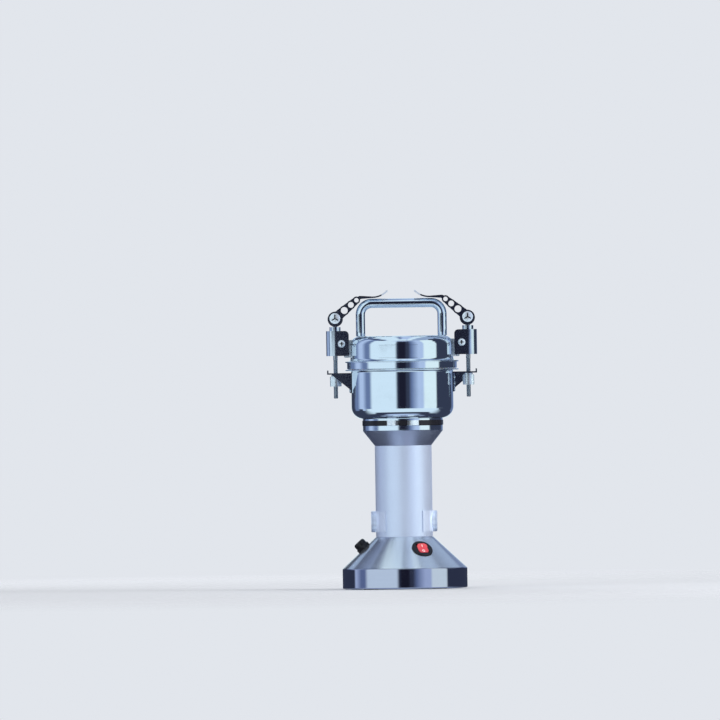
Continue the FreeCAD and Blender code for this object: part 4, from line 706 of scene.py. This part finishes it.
def cast_metal(s, colour):
    """Cast metal: sand grain and shallow pits."""
    sand = s.grain(900, 4.0, 0.65)
    pits = s.patches(330, 0.62, 0.75, 2.0, 0.5)
    tone = s.blend(sand * 0.6 + pits * 0.4, colour, darker(colour, 0.3))
    s.surface(tone, 0.9, 0.42 + sand * 0.14, s.bump(sand * 0.6 - pits * 0.4, 0.1 * MM, 0.7))


def stacked_sheets(s, colour, sheet):
    """Stack of varnished iron sheets, each edge a light line with a dark joint."""
    edge = s.math("PINGPONG", s.parts()[2] / sheet, 0.5) * 2
    stain = s.grain(120, 4.0)
    joint = s.fit(edge, 0.05, 0.35)
    tone = s.blend(joint * (0.6 + stain * 0.4), darker(colour, 0.75), colour)
    s.surface(tone, 0.8, 0.38 + stain * 0.2, s.bump(joint, 0.12 * MM, 0.8))


def wound_wire(s, colour, wire):
    """Enamelled wire laid close: round ridges that run up the coil, with varnish in between."""
    x, y, z = s.parts()
    sway = s.grain(60) * 0.6
    round_way = s.math("ARCTAN2", y, x) * 0.022
    wave = s.math("PINGPONG", (round_way + z * 0.12) / wire + sway, 0.5) * 2
    ridge = s.fit(wave, 0.0, 0.8)
    tone = s.blend(ridge, darker(colour, 0.7), colour)
    s.surface(tone, 0.85, 0.26 + sway * 0.2, s.bump(ridge, 0.2 * MM, 0.9), Coat_Weight=0.4)


def moulded(s, colour, roughness, grain, coat=0.0, sheen=0.1, gloss=0.5):
    """Moulded plastic or rubber: fine spark grain, flow marks and a little handling shine."""
    fine = s.grain(2200, 2.0, 0.6)
    flow = s.grain(38, 3.0)
    tone = s.blend(flow, colour, tuple(0.85 * channel + 0.15 * sheen for channel in colour))
    s.surface(tone, 0.0, roughness + flow * 0.12 - fine * 0.05,
              s.bump(fine * 0.7 + flow * 0.3, grain), Specular_IOR_Level=gloss, Coat_Weight=coat)


def soft_clear(s, colour):
    """Translucent silicone: milky, slightly tacky, with dust in its skin."""
    milk = s.grain(90, 3.0)
    dust = s.patches(700, 0.6, 0.75, 2.0, 0.5)
    tone = s.blend(milk * 0.5 + dust * 0.3, colour, darker(colour, 0.12))
    s.surface(tone, 0.0, 0.34 + dust * 0.2, s.bump(milk * 0.4 + dust * 0.6, 0.03 * MM),
              Subsurface_Weight=0.25, Subsurface_Scale=1.5 * MM)


def pressed_carbon(s, colour):
    """Pressed carbon and copper dust: matt black with single bright grains."""
    dust = s.grain(1500, 3.0, 0.7)
    bright = s.fit(dust, 0.66, 0.72)
    tone = s.blend(bright, colour, (0.35, 0.2, 0.14))
    s.surface(tone, bright * 0.6, 0.55 + dust * 0.15, s.bump(dust, 0.05 * MM, 0.6))


def make_finishes(scene):
    """Makes a material for each slot of the record, and for what differs from its slot.

    Each is given by its function, its colour and the function's other numbers.
    """
    colours = scene.grinder_colours
    clamps = scene.grinder_clamps
    lid_recess = (scene.grinder_lid.recess - MM, top_of("lid") - MM)
    nut = (clamps.rod_place, clamps.nut_height)
    barrel = (clamps.rod_place, clamps.barrel_height)
    screw = (clamps.screw_place, clamps.screw_height)
    nickel = (plated_sheet, colours.nickel)
    kinds = {
        "mirror_steel": (spun_steel, colours.mirror, 0.045, 0.006 * MM, 0.05, lid_recess),
        "polished_steel": (spun_steel, colours.polished, 0.09, 0.012 * MM, 0.07),
        "skirt_steel": (spun_steel, colours.skirt, 0.04, 0.002 * MM, 0.02),
        "satin_silver": (satin_paint, colours.satin, 0.4, 0.62, 0.015 * MM),
        # The bosses' outer faces, beyond 26.8 mm, are painted paler as painted light.
        "boss_silver": (satin_paint, colours.satin, 0.4, 0.5, 0.015 * MM, 26.8 * MM),
        "lug_silver": (satin_paint, colours.nickel, 0.3, 0.25, 0.012 * MM),
        "grey_casting": (satin_paint, colours.casting, 0.28, 0.95, 0.015 * MM),
        "spun_silver": (spun_paint, colours.cone, 0.2),
        "drawn_steel": (drawn_bar, colours.mirror, 0.1),
        "plated_steel": (plated_sheet, colours.plated, 0.12),
        "bright_screw": (plated_sheet, colours.plated, 0.16),
        "rod_steel": (plated_sheet, darker(colours.plated, 0.4), 0.16),
        "brass_terminal": (plated_sheet, colours.brass, 0.2),
        "satin_nickel": (*nickel, 0.28, 0.6),
        "nut_steel": (*nickel, 0.22, 0.75, nut, (6.2 * MM, 2.4 * MM, 0)),
        # Barrels and screws: their recesses are painted near black as painted shade.
        "barrel_steel": (*nickel, 0.25, 0.6, barrel, (5.7 * MM, 1.1 * MM, 1),
                         (5 * MM, 7.5 * MM, 7.0 * MM)),
        "screw_steel": (*nickel, 0.25, 0.6, screw, (4 * MM, 0.9 * MM, 1),
                        (3 * MM, 12.2 * MM, 11.7 * MM)),
        # The levers' tips are painted pale as a painted highlight.
        "lever_steel": (tipped_sheet, colours.plated, 0.12, 20 * MM),
        "zinc_sheet": (zinc_coat, colours.zinc),
        "blade_steel": (ground_steel, colours.blade),
        "bearing_steel": (ground_steel, colours.blade, (300, 300, 2600)),
        "cast_aluminium": (cast_metal, colours.aluminium),
        "laminated_iron": (stacked_sheets, colours.iron, 0.5 * MM),
        "copper": (wound_wire, colours.copper, 0.5 * MM),
        "carbon": (pressed_carbon, colours.carbon),
        "black_plastic": (moulded, colours.black, 0.24, 0.03 * MM, 0, 0.03, 0.3),
        "red_plastic": (moulded, colours.red, 0.16, 0.012 * MM, 0.6, 0.3),
        "wire_sleeve": (moulded, colours.sleeve, 0.3, 0.02 * MM),
        "black_rubber": (moulded, colours.rubber, 0.62, 0.08 * MM),
        "mark": (moulded, colours.mark, 0.35, 0.01 * MM),
        "clear_silicone": (soft_clear, colours.silicone),
    }
    for name, (kind, colour, *numbers) in kinds.items():
        kind(new_finish(name), colour, *numbers)


# Nodes whose finish differs from that of their slot
OWN_FINISHES = {
    "base_cone": "spun_silver",
    "pivot_screws": "screw_steel",
    "lid_lugs": "lug_silver",
    "brush_bosses": "boss_silver",
    "mount_nuts": "satin_nickel",
}
for side in SIDES:
    OWN_FINISHES[f"{side}_clamp_lever"] = "lever_steel"
    OWN_FINISHES[f"{side}_clamp_barrel"] = "barrel_steel"
    OWN_FINISHES[f"{side}_adjusting_nut"] = "nut_steel"


# Pieces
class Piece:
    """What the operators have in common."""

    bl_options = {"REGISTER", "UNDO"}


class GRINDER_OT_finishes(Piece, bpy.types.Operator):
    """Make the finishes and give each solid that stays the one of its material slot."""

    bl_idname = "grinder.finishes"
    bl_label = "Finishes"

    def execute(self, context):
        for material in list(bpy.data.materials):
            bpy.data.materials.remove(material)
        make_finishes(context.scene)
        for part in frame["record"]["subparts"]:
            own = OWN_FINISHES.get(part["node"], part["material_slot"])
            slots = frame["nodes"][part["node"]].data.materials
            slots.clear()
            slots.append(bpy.data.materials[own])
        return {"FINISHED"}


class GRINDER_OT_bowl(Piece, bpy.types.Operator):
    """Spin the bowl: wall, rounded floor and rolled lip of one sheet."""

    bl_idname = "grinder.bowl"
    bl_label = "Bowl"

    def execute(self, context):
        size = context.scene.grinder_bowl
        inner = size.radius - size.wall
        floor = size.foot + size.wall
        profile = rounded([
            (size.neck, size.foot),
            (size.radius, size.foot, size.corner),
            (size.radius, size.top - size.lip_thickness, size.lip_fillet),
            (size.lip, size.top - size.lip_thickness, size.lip_edge),
            (size.lip, size.top, size.lip_edge),
            (inner, size.top, size.rim_edge),
            (inner, floor, size.corner - size.wall),
            (size.neck, floor),
        ], 10)
        new_piece("bowl", [(turned_points(profile, 256), True)], "base", "mirror_steel",
                  ["grinding_bowl"])
        return {"FINISHED"}


class GRINDER_OT_lid(Piece, bpy.types.Operator):
    """Spin the lid: band, flange, wall, shoulder and sunk middle, with the gasket's groove."""

    bl_idname = "grinder.lid"
    bl_label = "Lid"

    def execute(self, context):
        size = context.scene.grinder_lid
        inner = size.radius - size.wall
        middle = size.top - size.recess_depth
        ceiling = middle - size.wall
        groove_top = size.foot + size.groove_depth
        spigot_inner = size.spigot - size.spigot_wall
        profile = rounded([
            (0, ceiling),
            (inner, ceiling, size.shoulder - size.wall - size.recess_depth),
            (inner, groove_top),
            (spigot_inner, groove_top),
            (spigot_inner, size.spigot_foot, size.spigot_edge),
            (size.spigot, size.spigot_foot, size.spigot_edge),
            (size.spigot, size.foot),
            (size.groove_inner, size.foot),
            (size.groove_inner, groove_top),
            (size.groove_outer, groove_top),
            (size.groove_outer, size.foot),
            (size.band, size.foot, size.edge),
            (size.band, size.band_top),
            (size.flange, size.band_top, size.edge),
            (size.flange, size.flange_top, size.edge),
            (size.radius, size.flange_top, size.root),
            (size.radius, size.top, size.shoulder),
            (size.recess, size.top, size.edge),
            (size.recess - size.recess_slope, middle, size.edge),
            (0, middle),
        ], 10, closed=False)
        new_piece("lid_shell", [(turned_points(profile, 256), False)], "lid_group",
                  "mirror_steel", ["lid"])
        return {"FINISHED"}


class GRINDER_OT_handle(Piece, bpy.types.Operator):
    """Bend the round bar of the lid's handle."""

    bl_idname = "grinder.handle"
    bl_label = "Handle"

    def execute(self, context):
        size = context.scene.grinder_handle
        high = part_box("lid_handle")[1]
        leg = high.x - size.bar
        top = high.z - size.bar
        turn = np.linspace(0, RIGHT_ANGLE, 17)
        rise = np.linspace(size.foot, top - size.bend, 7)[:-1]
        across = np.linspace(size.bend - leg, leg - size.bend, 9)[1:-1]
        # The columns are the middle line's x and z, and its heading along x and z
        left_leg = np.column_stack([0 * rise - leg, rise, 0 * rise, 0 * rise + 1])
        left_bend = np.column_stack([size.bend * (1 - np.cos(turn)) - leg,
                                     top - size.bend * (1 - np.sin(turn)),
                                     np.sin(turn), np.cos(turn)])
        bar = np.column_stack([across, 0 * across + top, 0 * across + 1, 0 * across])
        left = np.concatenate([left_leg, left_bend])
        right = left[::-1] * np.array([-1, 1, 1, -1])
        line = np.concatenate([left, bar, right])
        points = bar_points(line[:, :2], line[:, 2:], size.bar, 48, size.foot_edge)
        new_piece("handle_bar", [(points, False)], "lid_group", "mirror_steel", ["lid_handle"],
                  "drawn_steel")
        return {"FINISHED"}


class GRINDER_OT_base(Piece, bpy.types.Operator):
    """Spin the polished skirt and mould the four rubber feet."""

    bl_idname = "grinder.base"
    bl_label = "Base"

    def execute(self, context):
        size = context.scene.grinder_base
        inner = size.skirt - size.skirt_wall
        rim = inner - size.skirt_rim
        flange = size.skirt_top - size.skirt_wall
        rim_top = size.plate_top + size.skirt_wall
        skirt = rounded([
            (size.skirt, size.skirt_foot, size.skirt_edge),
            (size.skirt, size.skirt_top, size.skirt_edge),
            (rim, size.skirt_top),
            (rim, flange),
            (inner, flange),
            (inner, rim_top),
            (rim, rim_top),
            (rim, size.plate_top),
            (inner, size.plate_top),
            (inner, size.skirt_foot),
        ], 8)
        new_piece("skirt", [(turned_points(skirt, 256), True)], "base", "polished_steel",
                  ["base_skirt"], "skirt_steel")

        barb_top = size.plate_top + size.barb_height
        groove = size.foot_groove
        soft = 0.3 * MM
        # Radius of each step under the foot, as a share of the foot's, and its height
        steps = ((0.36, 0), (0.56, 0), (0.6, groove), (0.68, groove), (0.72, 0))
        foot = rounded([
            (0, groove),
            (size.foot_radius * 0.3, groove),
            *[(size.foot_radius * share, height, soft) for share, height in steps],
            (size.foot_radius, 0, 0.7 * MM),
            (size.foot_radius, size.foot_height, 0.5 * MM),
            (size.foot_stem, size.foot_height),
            (size.foot_stem, size.plate_top),
            (size.foot_barb, size.plate_top, 0.2 * MM),
            (size.foot_stem - 0.4 * MM, barb_top, soft),
            (0, barb_top),
        ], 4, closed=False)
        grid = turned_points(foot, 48)
        place = size.foot_circle * math.sqrt(0.5)
        feet = [(grid + np.array([x * place, y * place, 0]), False)
                for x in (-1, 1) for y in (-1, 1)]
        new_piece("feet", feet, "base", "black_rubber", ["rubber_feet"])
        return {"FINISHED"}


class GRINDER_OT_column(Piece, bpy.types.Operator):
    """Turn the tube of the motor column, with soft edges at both ends."""

    bl_idname = "grinder.column"
    bl_label = "Column"

    def execute(self, context):
        size = context.scene.grinder_column
        inner = size.radius - size.wall
        profile = rounded([
            (size.radius, size.foot, size.edge),
            (size.radius, size.top, size.edge),
            (inner, size.top),
            (inner, size.foot),
        ], 6)
        new_piece("column_tube", [(turned_points(profile, 192), True)], "base", "satin_silver",
                  ["motor_column"])
        return {"FINISHED"}


class GRINDER_OT_switch(Piece, bpy.types.Operator):
    """Mould the dished rocker and print its marks."""

    bl_idname = "grinder.switch"
    bl_label = "Switch"

    def execute(self, context):
        size = context.scene.grinder_switch
        seat = cone_seat(context.scene.grinder_base, size.azimuth, size.height, size.seat)
        pin = np.eye(4)
        pin[2, 3] = -size.pivot_depth
        lie = seat @ pin @ leaned(size.tilt)
        new_piece("rocker", [(placed(self.rocker_points(size), lie), False)], "rocker",
                  "red_plastic", ["switch_rocker"])
        marks = [(placed(grid, lie), True) for grid in self.mark_points(size)]
        new_piece("rocker_marks", marks, "rocker", "red_plastic", finish="mark")
        return {"FINISHED"}

    def face_height(self, size, y, reach):
        """Height over the pin of the rocker's face: ridge + |y| tan tilt - dish sin(pi |y| / reach)."""
        hollow = size.dish * np.sin(math.pi * np.clip(np.abs(y) / reach, 0, 1))
        return size.ridge + np.abs(y) * math.tan(size.tilt) - hollow

    def reach(self, size):
        """Half length of the face: where ridge + y tan tilt meets the drum's circle."""
        slope = math.tan(size.tilt)
        a = 1 + slope ** 2
        b = size.ridge * slope
        return (math.sqrt(b * b + a * (size.drum ** 2 - size.ridge ** 2)) - b) / a

    def rocker_points(self, size):
        """Section in YZ, of the face and the drum's arc under it, carried along X.

        Near the sides it shrinks by edge (1 - cos b) while it goes on by edge sin b. Its length
        in Y also shrinks, by 1 - sqrt(1 - (x / half width)^4) of its corner share.
        """
        reach = self.reach(size)
        y = np.linspace(reach, -reach, 41)
        face = np.stack([y, self.face_height(size, y, reach)], axis=-1)
        start = math.atan2(face[-1, 1], face[-1, 0])
        a = np.linspace(start, start + 2 * (1.5 * math.pi - start), 41)[1:-1]
        drum = size.drum * np.stack([np.cos(a), np.sin(a)], axis=-1)
        section = np.concatenate([face, drum])
        middle = np.array([0, size.ridge - size.drum]) / 2
        mean_reach = size.drum * 0.6
        b = np.linspace(0, RIGHT_ANGLE, 6)
        flat = size.half_width - size.side_edge
        x = flat + size.side_edge * np.sin(b)
        inner = np.linspace(-flat, flat, 17)[1:-1]
        shrink = 1 - size.side_edge * (1 - np.cos(b)) / mean_reach
        x = np.concatenate([[-x[-1]], -x[::-1], inner, x, [x[-1]]])
        shrink = np.concatenate([[0], shrink[::-1], np.ones(len(inner)), shrink, [0]])
        points = middle + (section - middle)[None] * shrink[:, None, None]
        sideways = np.clip(np.abs(x) / size.half_width, 0, 1)
        points[:, :, 0] *= (1 - size.corner * (1 - np.sqrt(1 - sideways ** 4)))[:, None]
        across = np.repeat(x[:, None, None], len(section), axis=1)
        return np.concatenate([across, points], axis=-1)

    def mark_points(self, size):
        """A ring on the lower half and a bar on the upper, each a loop of small round section.

        With the angle a round the loop and b round its line, a point lies at
        ((across + line cos b) cos a, middle + (along + line cos b) sin a), over the face by
        rise sin b.
        """
        reach = self.reach(size)
        middle = size.mark_place * reach
        thin = 0.05 * MM
        a = round_angles(48)[:, None]
        b = round_angles(10)
        line = size.mark_line * np.cos(b)
        grids = []
        for half, across, along in ((-1, size.ring, size.ring), (1, thin, size.bar)):
            x = (across + line) * np.cos(a)
            y = half * middle + (along + line) * np.sin(a)
            z = self.face_height(size, y, reach) + size.mark_rise * np.sin(b)
            grids.append(np.stack([x, y, z], axis=-1))
        return grids


class GRINDER_OT_clamps(Piece, bpy.types.Operator):
    """Cut the thread of both clamp rods."""

    bl_idname = "grinder.clamps"
    bl_label = "Clamps"

    def execute(self, context):
        size = context.scene.grinder_clamps
        for side, sign in SIDES.items():
            node = f"{side}_clamp_rod"
            points = thread_points(size, foot_of(node), top_of(node))
            points = points + np.array([sign * size.rod_place, 0, 0])
            new_piece(f"{side}_threaded_rod", [(points, False)], f"{side}_rod", "plated_steel",
                      [node], "rod_steel", 50)
        return {"FINISHED"}


# Stage
# Cards round the wall by azimuth in degrees: 0 is in front of the grinder, 90 on its right
WALL_CARDS = (
    (-180, "bright"), (-170, "bright"), (-162, "dark"), (-138, "dark"), (-128, "dusk"),
    (-118, "dusk"), (-107, "mid"), (-98, "mid"), (-86, "dusk"), (-77, "dusk"), (-70, "bright"),
    (-15, "bright"), (-10, "dark"), (-6, "black"), (6, "black"), (10, "dark"), (14, "dark"),
    (21, "dusk"), (36, "mid"), (46, "mid"), (50, "white"), (79, "white"), (83, "dark"),
    (138, "dark"), (148, "dusk"), (162, "dusk"), (172, "bright"), (180, "bright"))
# Cards across the ceiling by their metres from the left to the right of the shaft
CEILING_CARDS = (
    (-0.7, "dusk"), (-0.5, "dark"), (-0.44, "dusk"), (-0.38, "bright"), (-0.09, "bright"),
    (-0.03, "dusk"), (0.02, "mid"), (0.11, "mid"), (0.18, "bright"), (0.25, "bright"),
    (0.31, "half"), (0.7, "half"))
# Place and size of each lamp in metres, and its power in watts
LAMPS = {
    "key": ((2.05, -1.25, 0.9), 1.3, 62),
    "fill": ((-1.7, -1.5, 0.8), 1.3, 22),
    "top": ((0.2, 0.3, 2.2), 1.8, 16),
    "side": ((1.6, 0.15, 0.2), 0.6, 5),
    "rim": ((-0.6, 2.2, 1.0), 1.4, 34),
}
# Height at which the lamps aim
LAMP_AIM = 0.15
# Profiles of the floor and the cards start this far from the shaft
PINHOLE = 0.001


class GRINDER_OT_stage(Piece, bpy.types.Operator):
    """Set up the floor, the wall that the steel reflects, the soft light and the camera."""

    bl_idname = "grinder.stage"
    bl_label = "Stage"

    def execute(self, context):
        stage = context.scene.grinder_stage
        cards = {name: tuple(getattr(stage, f"{name}_card"))
                 for name in ("black", "dark", "dusk", "half", "mid", "bright", "white")}
        self.make_floor(stage, tuple(context.scene.grinder_colours.floor))
        self.make_pit(stage, cards)
        self.make_wall(stage, cards)
        self.make_ceiling(stage, cards)
        self.make_light(context, stage)
        self.make_camera(context, stage)
        context.scene.view_settings.view_transform = "Standard"
        return {"FINISHED"}

    def backdrop(self, name, profile, sides):
        """Profile spun about Z, in the finish of its name. It isn't part of the grinder."""
        grid = turned_points(profile, sides)
        mesh = bpy.data.meshes.new(name)
        mesh.from_pydata(grid.reshape(-1, 3).tolist(), [], grid_faces(*grid.shape[:2]).tolist())
        backdrop = new_object(name, mesh, name)
        return backdrop

    def card(self, name, profile, s, colour):
        """Backdrop that glows in the colour, which only what shines sees."""
        s.output("Material", s.node("ShaderNodeEmission", inputs={"Color": colour}))
        card = self.backdrop(name, profile, 128)
        card.visible_camera = False
        card.visible_diffuse = False
        card.visible_shadow = False

    def ramp(self, s, cards, stops, factor):
        """Colours of the cards, where a factor of 0 to 1 spans the stops, which lie evenly about 0."""
        span = 2 * stops[-1][0]
        stops = [(place / span + 0.5, cards[name]) for place, name in stops]
        return s.node("ShaderNodeValToRGB", {"stops": stops}, {0: factor})

    def make_floor(self, stage, colour):
        """Pale disc that fades out towards its rim, so that it has no visible end."""
        s = new_finish("floor")
        x, y, z = s.parts()
        pale = s.node("ShaderNodeBsdfDiffuse", inputs={"Color": (*colour, 1)})
        clear = s.node("ShaderNodeBsdfTransparent")
        fade = s.fit(distance(x, y), stage.floor_radius * 0.3, stage.floor_radius)
        s.output("Material", s.node("ShaderNodeMixShader", inputs={0: fade, 1: pale, 2: clear}))
        profile = [[PINHOLE, 0], [stage.floor_radius * 0.5, 0], [stage.floor_radius, 0]]
        self.backdrop("floor", profile, 96).visible_glossy = False

    def make_pit(self, stage, cards):
        """Sunk card that what shines sees instead of the floor.

        It is half bright close to the grinder's front, then dark and further out bright, with a
        dark lane far in front, and dark behind.
        """
        s = new_finish("floor_card")
        x, y, z = s.parts()
        radius = distance(x, y)
        rings = s.blend(s.fit(radius, 0.1, 0.13), cards["mid"], cards["dark"])
        rings = s.blend(s.fit(radius, 0.22, 0.24), rings, cards["bright"])
        lane = s.window(x, -0.075, 0.075) * s.below(y, -0.6, -0.57)
        rings = s.blend(lane, rings, cards["black"])
        colour = s.blend(s.fit(y, -0.1, 0.12), rings, cards["dark"])
        profile = [[PINHOLE, -stage.pit], [stage.wall_radius, -stage.pit]]
        self.card("floor_card", profile, s, colour)

    def make_wall(self, stage, cards):
        """Wall of light and dark cards round the grinder.

        A bright card stands high behind, the foot is dark behind and has a bright strip in
        front, and higher up the colours of its front and its rear are even. At the height of
        the handle a dark board stands in front.
        """
        s = new_finish("studio_wall")
        x, y, z = s.parts()
        far = stage.wall_radius
        front = s.below(y, 0.1, 0.2)
        strip = s.window(z, 0.035, 0.075) * front
        behind = s.window(z, 0.235, 0.4) * s.fit(y, far * 0.965, far * 0.985)
        high_front = s.fit(z, 0.88, 0.94) * s.below(y, -far * 0.95, -far * 0.85)
        right_rear = s.fit(z, 0.34, 0.4) * s.fit(x, 0.0, 0.1)
        left_rear = s.window(z, 0.3, 0.52, 0.05) * s.below(x, -0.1, 0.0)
        rear = (right_rear + left_rear) * s.fit(y, far * 0.4, far * 0.6)
        # On the left the dark foot comes 50 mm further forwards
        low_rear = s.below(z, 0.024, 0.032) * s.fit(y + s.fit(x, -0.3, 0.0, 0.05, 0.0),
                                                    far * 0.24, far * 0.33)
        board = s.window(z, 0.271, 0.325, 0.003) * s.window(x, -0.56, 0.42, 0.03) * front
        bright = s.math("MAXIMUM", strip, behind)
        azimuth = s.math("ARCTAN2", x, 0 - y) / FULL_TURN + 0.5
        colour = self.ramp(s, cards, WALL_CARDS, azimuth)
        for mask, name in ((high_front, "mid"), (rear, "half"), (low_rear, "dark"),
                           (board, "black"), (bright, "bright")):
            colour = s.blend(mask, colour, cards[name])
        self.card("studio_wall", [[far, -stage.pit], [far, stage.wall_height]], s, colour)

    def make_ceiling(self, stage, cards):
        """Cards over the grinder, with one more bright card above its front."""
        s = new_finish("studio_ceiling")
        x, y, z = s.parts()
        far = stage.wall_radius
        colour = self.ramp(s, cards, CEILING_CARDS, x / (2 * far) + 0.5)
        in_front = s.below(y, -0.32, -0.2) * s.window(x, -0.14, 0.14, 0.04)
        colour = s.blend(in_front, colour, cards["bright"])
        profile = [[PINHOLE, stage.wall_height], [far, stage.wall_height]]
        self.card("studio_ceiling", profile, s, colour)

    def make_light(self, context, stage):
        """Plain pale world, which lights the grinder more softly than it looks, and the lamps."""
        world = bpy.data.worlds.new("studio")
        world.use_nodes = True
        context.scene.world = world
        s = Shader(world.node_tree)
        path = s.node("ShaderNodeLightPath").socket.node.outputs
        seen = s.math("MAXIMUM", Wire(s, path["Is Camera Ray"]), Wire(s, path["Is Glossy Ray"]))
        seen = s.math("MAXIMUM", seen, Wire(s, path["Is Transmission Ray"]))
        s.output("World", s.node("ShaderNodeBackground", inputs={
            "Color": s.blend(seen, (1, 1, 1), tuple(stage.backdrop)),
            "Strength": seen * (1 - stage.sky) + stage.sky}))
        for name, (place, size, power) in LAMPS.items():
            lamp = bpy.data.lights.new(name, "AREA")
            lamp.size = size
            lamp.energy = power * stage.lamps
            thing = bpy.data.objects.new(name, lamp)
            thing.location = place
            aim = -thing.location
            aim.z += LAMP_AIM
            thing.rotation_euler = aim.to_track_quat("-Z", "Y").to_euler()
            thing.visible_glossy = False
            context.scene.collection.objects.link(thing)

    def make_camera(self, context, stage):
        """Long lens in front of the grinder, leaned a little, with the base's foot at its place.

        At that distance the picture spans frame_width. With the lean w, a point p right and u
        above the middle of the view shows at (p cos w - u sin w, p sin w + u cos w).
        """
        camera = bpy.data.cameras.new("camera")
        camera.sensor_width = 36
        camera.lens = camera.sensor_width * stage.distance / stage.frame_width
        camera.clip_end = 50
        right = (stage.across - 0.5) * stage.frame_width
        up = (0.5 - stage.down) * stage.frame_width
        across = right * math.cos(stage.roll) + up * math.sin(stage.roll)
        above = up * math.cos(stage.roll) - right * math.sin(stage.roll)
        thing = bpy.data.objects.new("camera", camera)
        thing.rotation_euler = (RIGHT_ANGLE, stage.roll, 0)
        thing.location = (-across, -stage.distance, -above)
        context.scene.collection.objects.link(thing)
        context.scene.camera = thing


OPERATORS = (
    GRINDER_OT_finishes,
    GRINDER_OT_bowl,
    GRINDER_OT_lid,
    GRINDER_OT_handle,
    GRINDER_OT_base,
    GRINDER_OT_column,
    GRINDER_OT_switch,
    GRINDER_OT_clamps,
    GRINDER_OT_stage,
)


class GRINDER_PT_panel(bpy.types.Panel):
    """Lists the steps and their sizes."""

    bl_idname = "GRINDER_PT_panel"
    bl_label = "Spice grinder"
    bl_space_type = "VIEW_3D"
    bl_region_type = "UI"
    bl_category = "Grinder"

    def draw(self, context):
        for operator in OPERATORS:
            self.layout.operator(operator.bl_idname)
        for name, group in GROUPS.items():
            box = self.layout.box()
            box.label(text=name.replace("grinder_", "").capitalize())
            for size in group.__annotations__:
                box.prop(getattr(context.scene, name), size)


CLASSES = (*GROUPS.values(), *OPERATORS, GRINDER_PT_panel)


def register():
    for kind in CLASSES:
        bpy.utils.register_class(kind)
    for name, group in GROUPS.items():
        setattr(bpy.types.Scene, name, PointerProperty(type=group))


def unregister():
    for name in GROUPS:
        delattr(bpy.types.Scene, name)
    for kind in reversed(CLASSES):
        bpy.utils.unregister_class(kind)


def main():
    register()
    for operator in OPERATORS:
        group, name = operator.bl_idname.split(".")
        getattr(getattr(bpy.ops, group), name)()


if __name__ == "__main__":
    main()
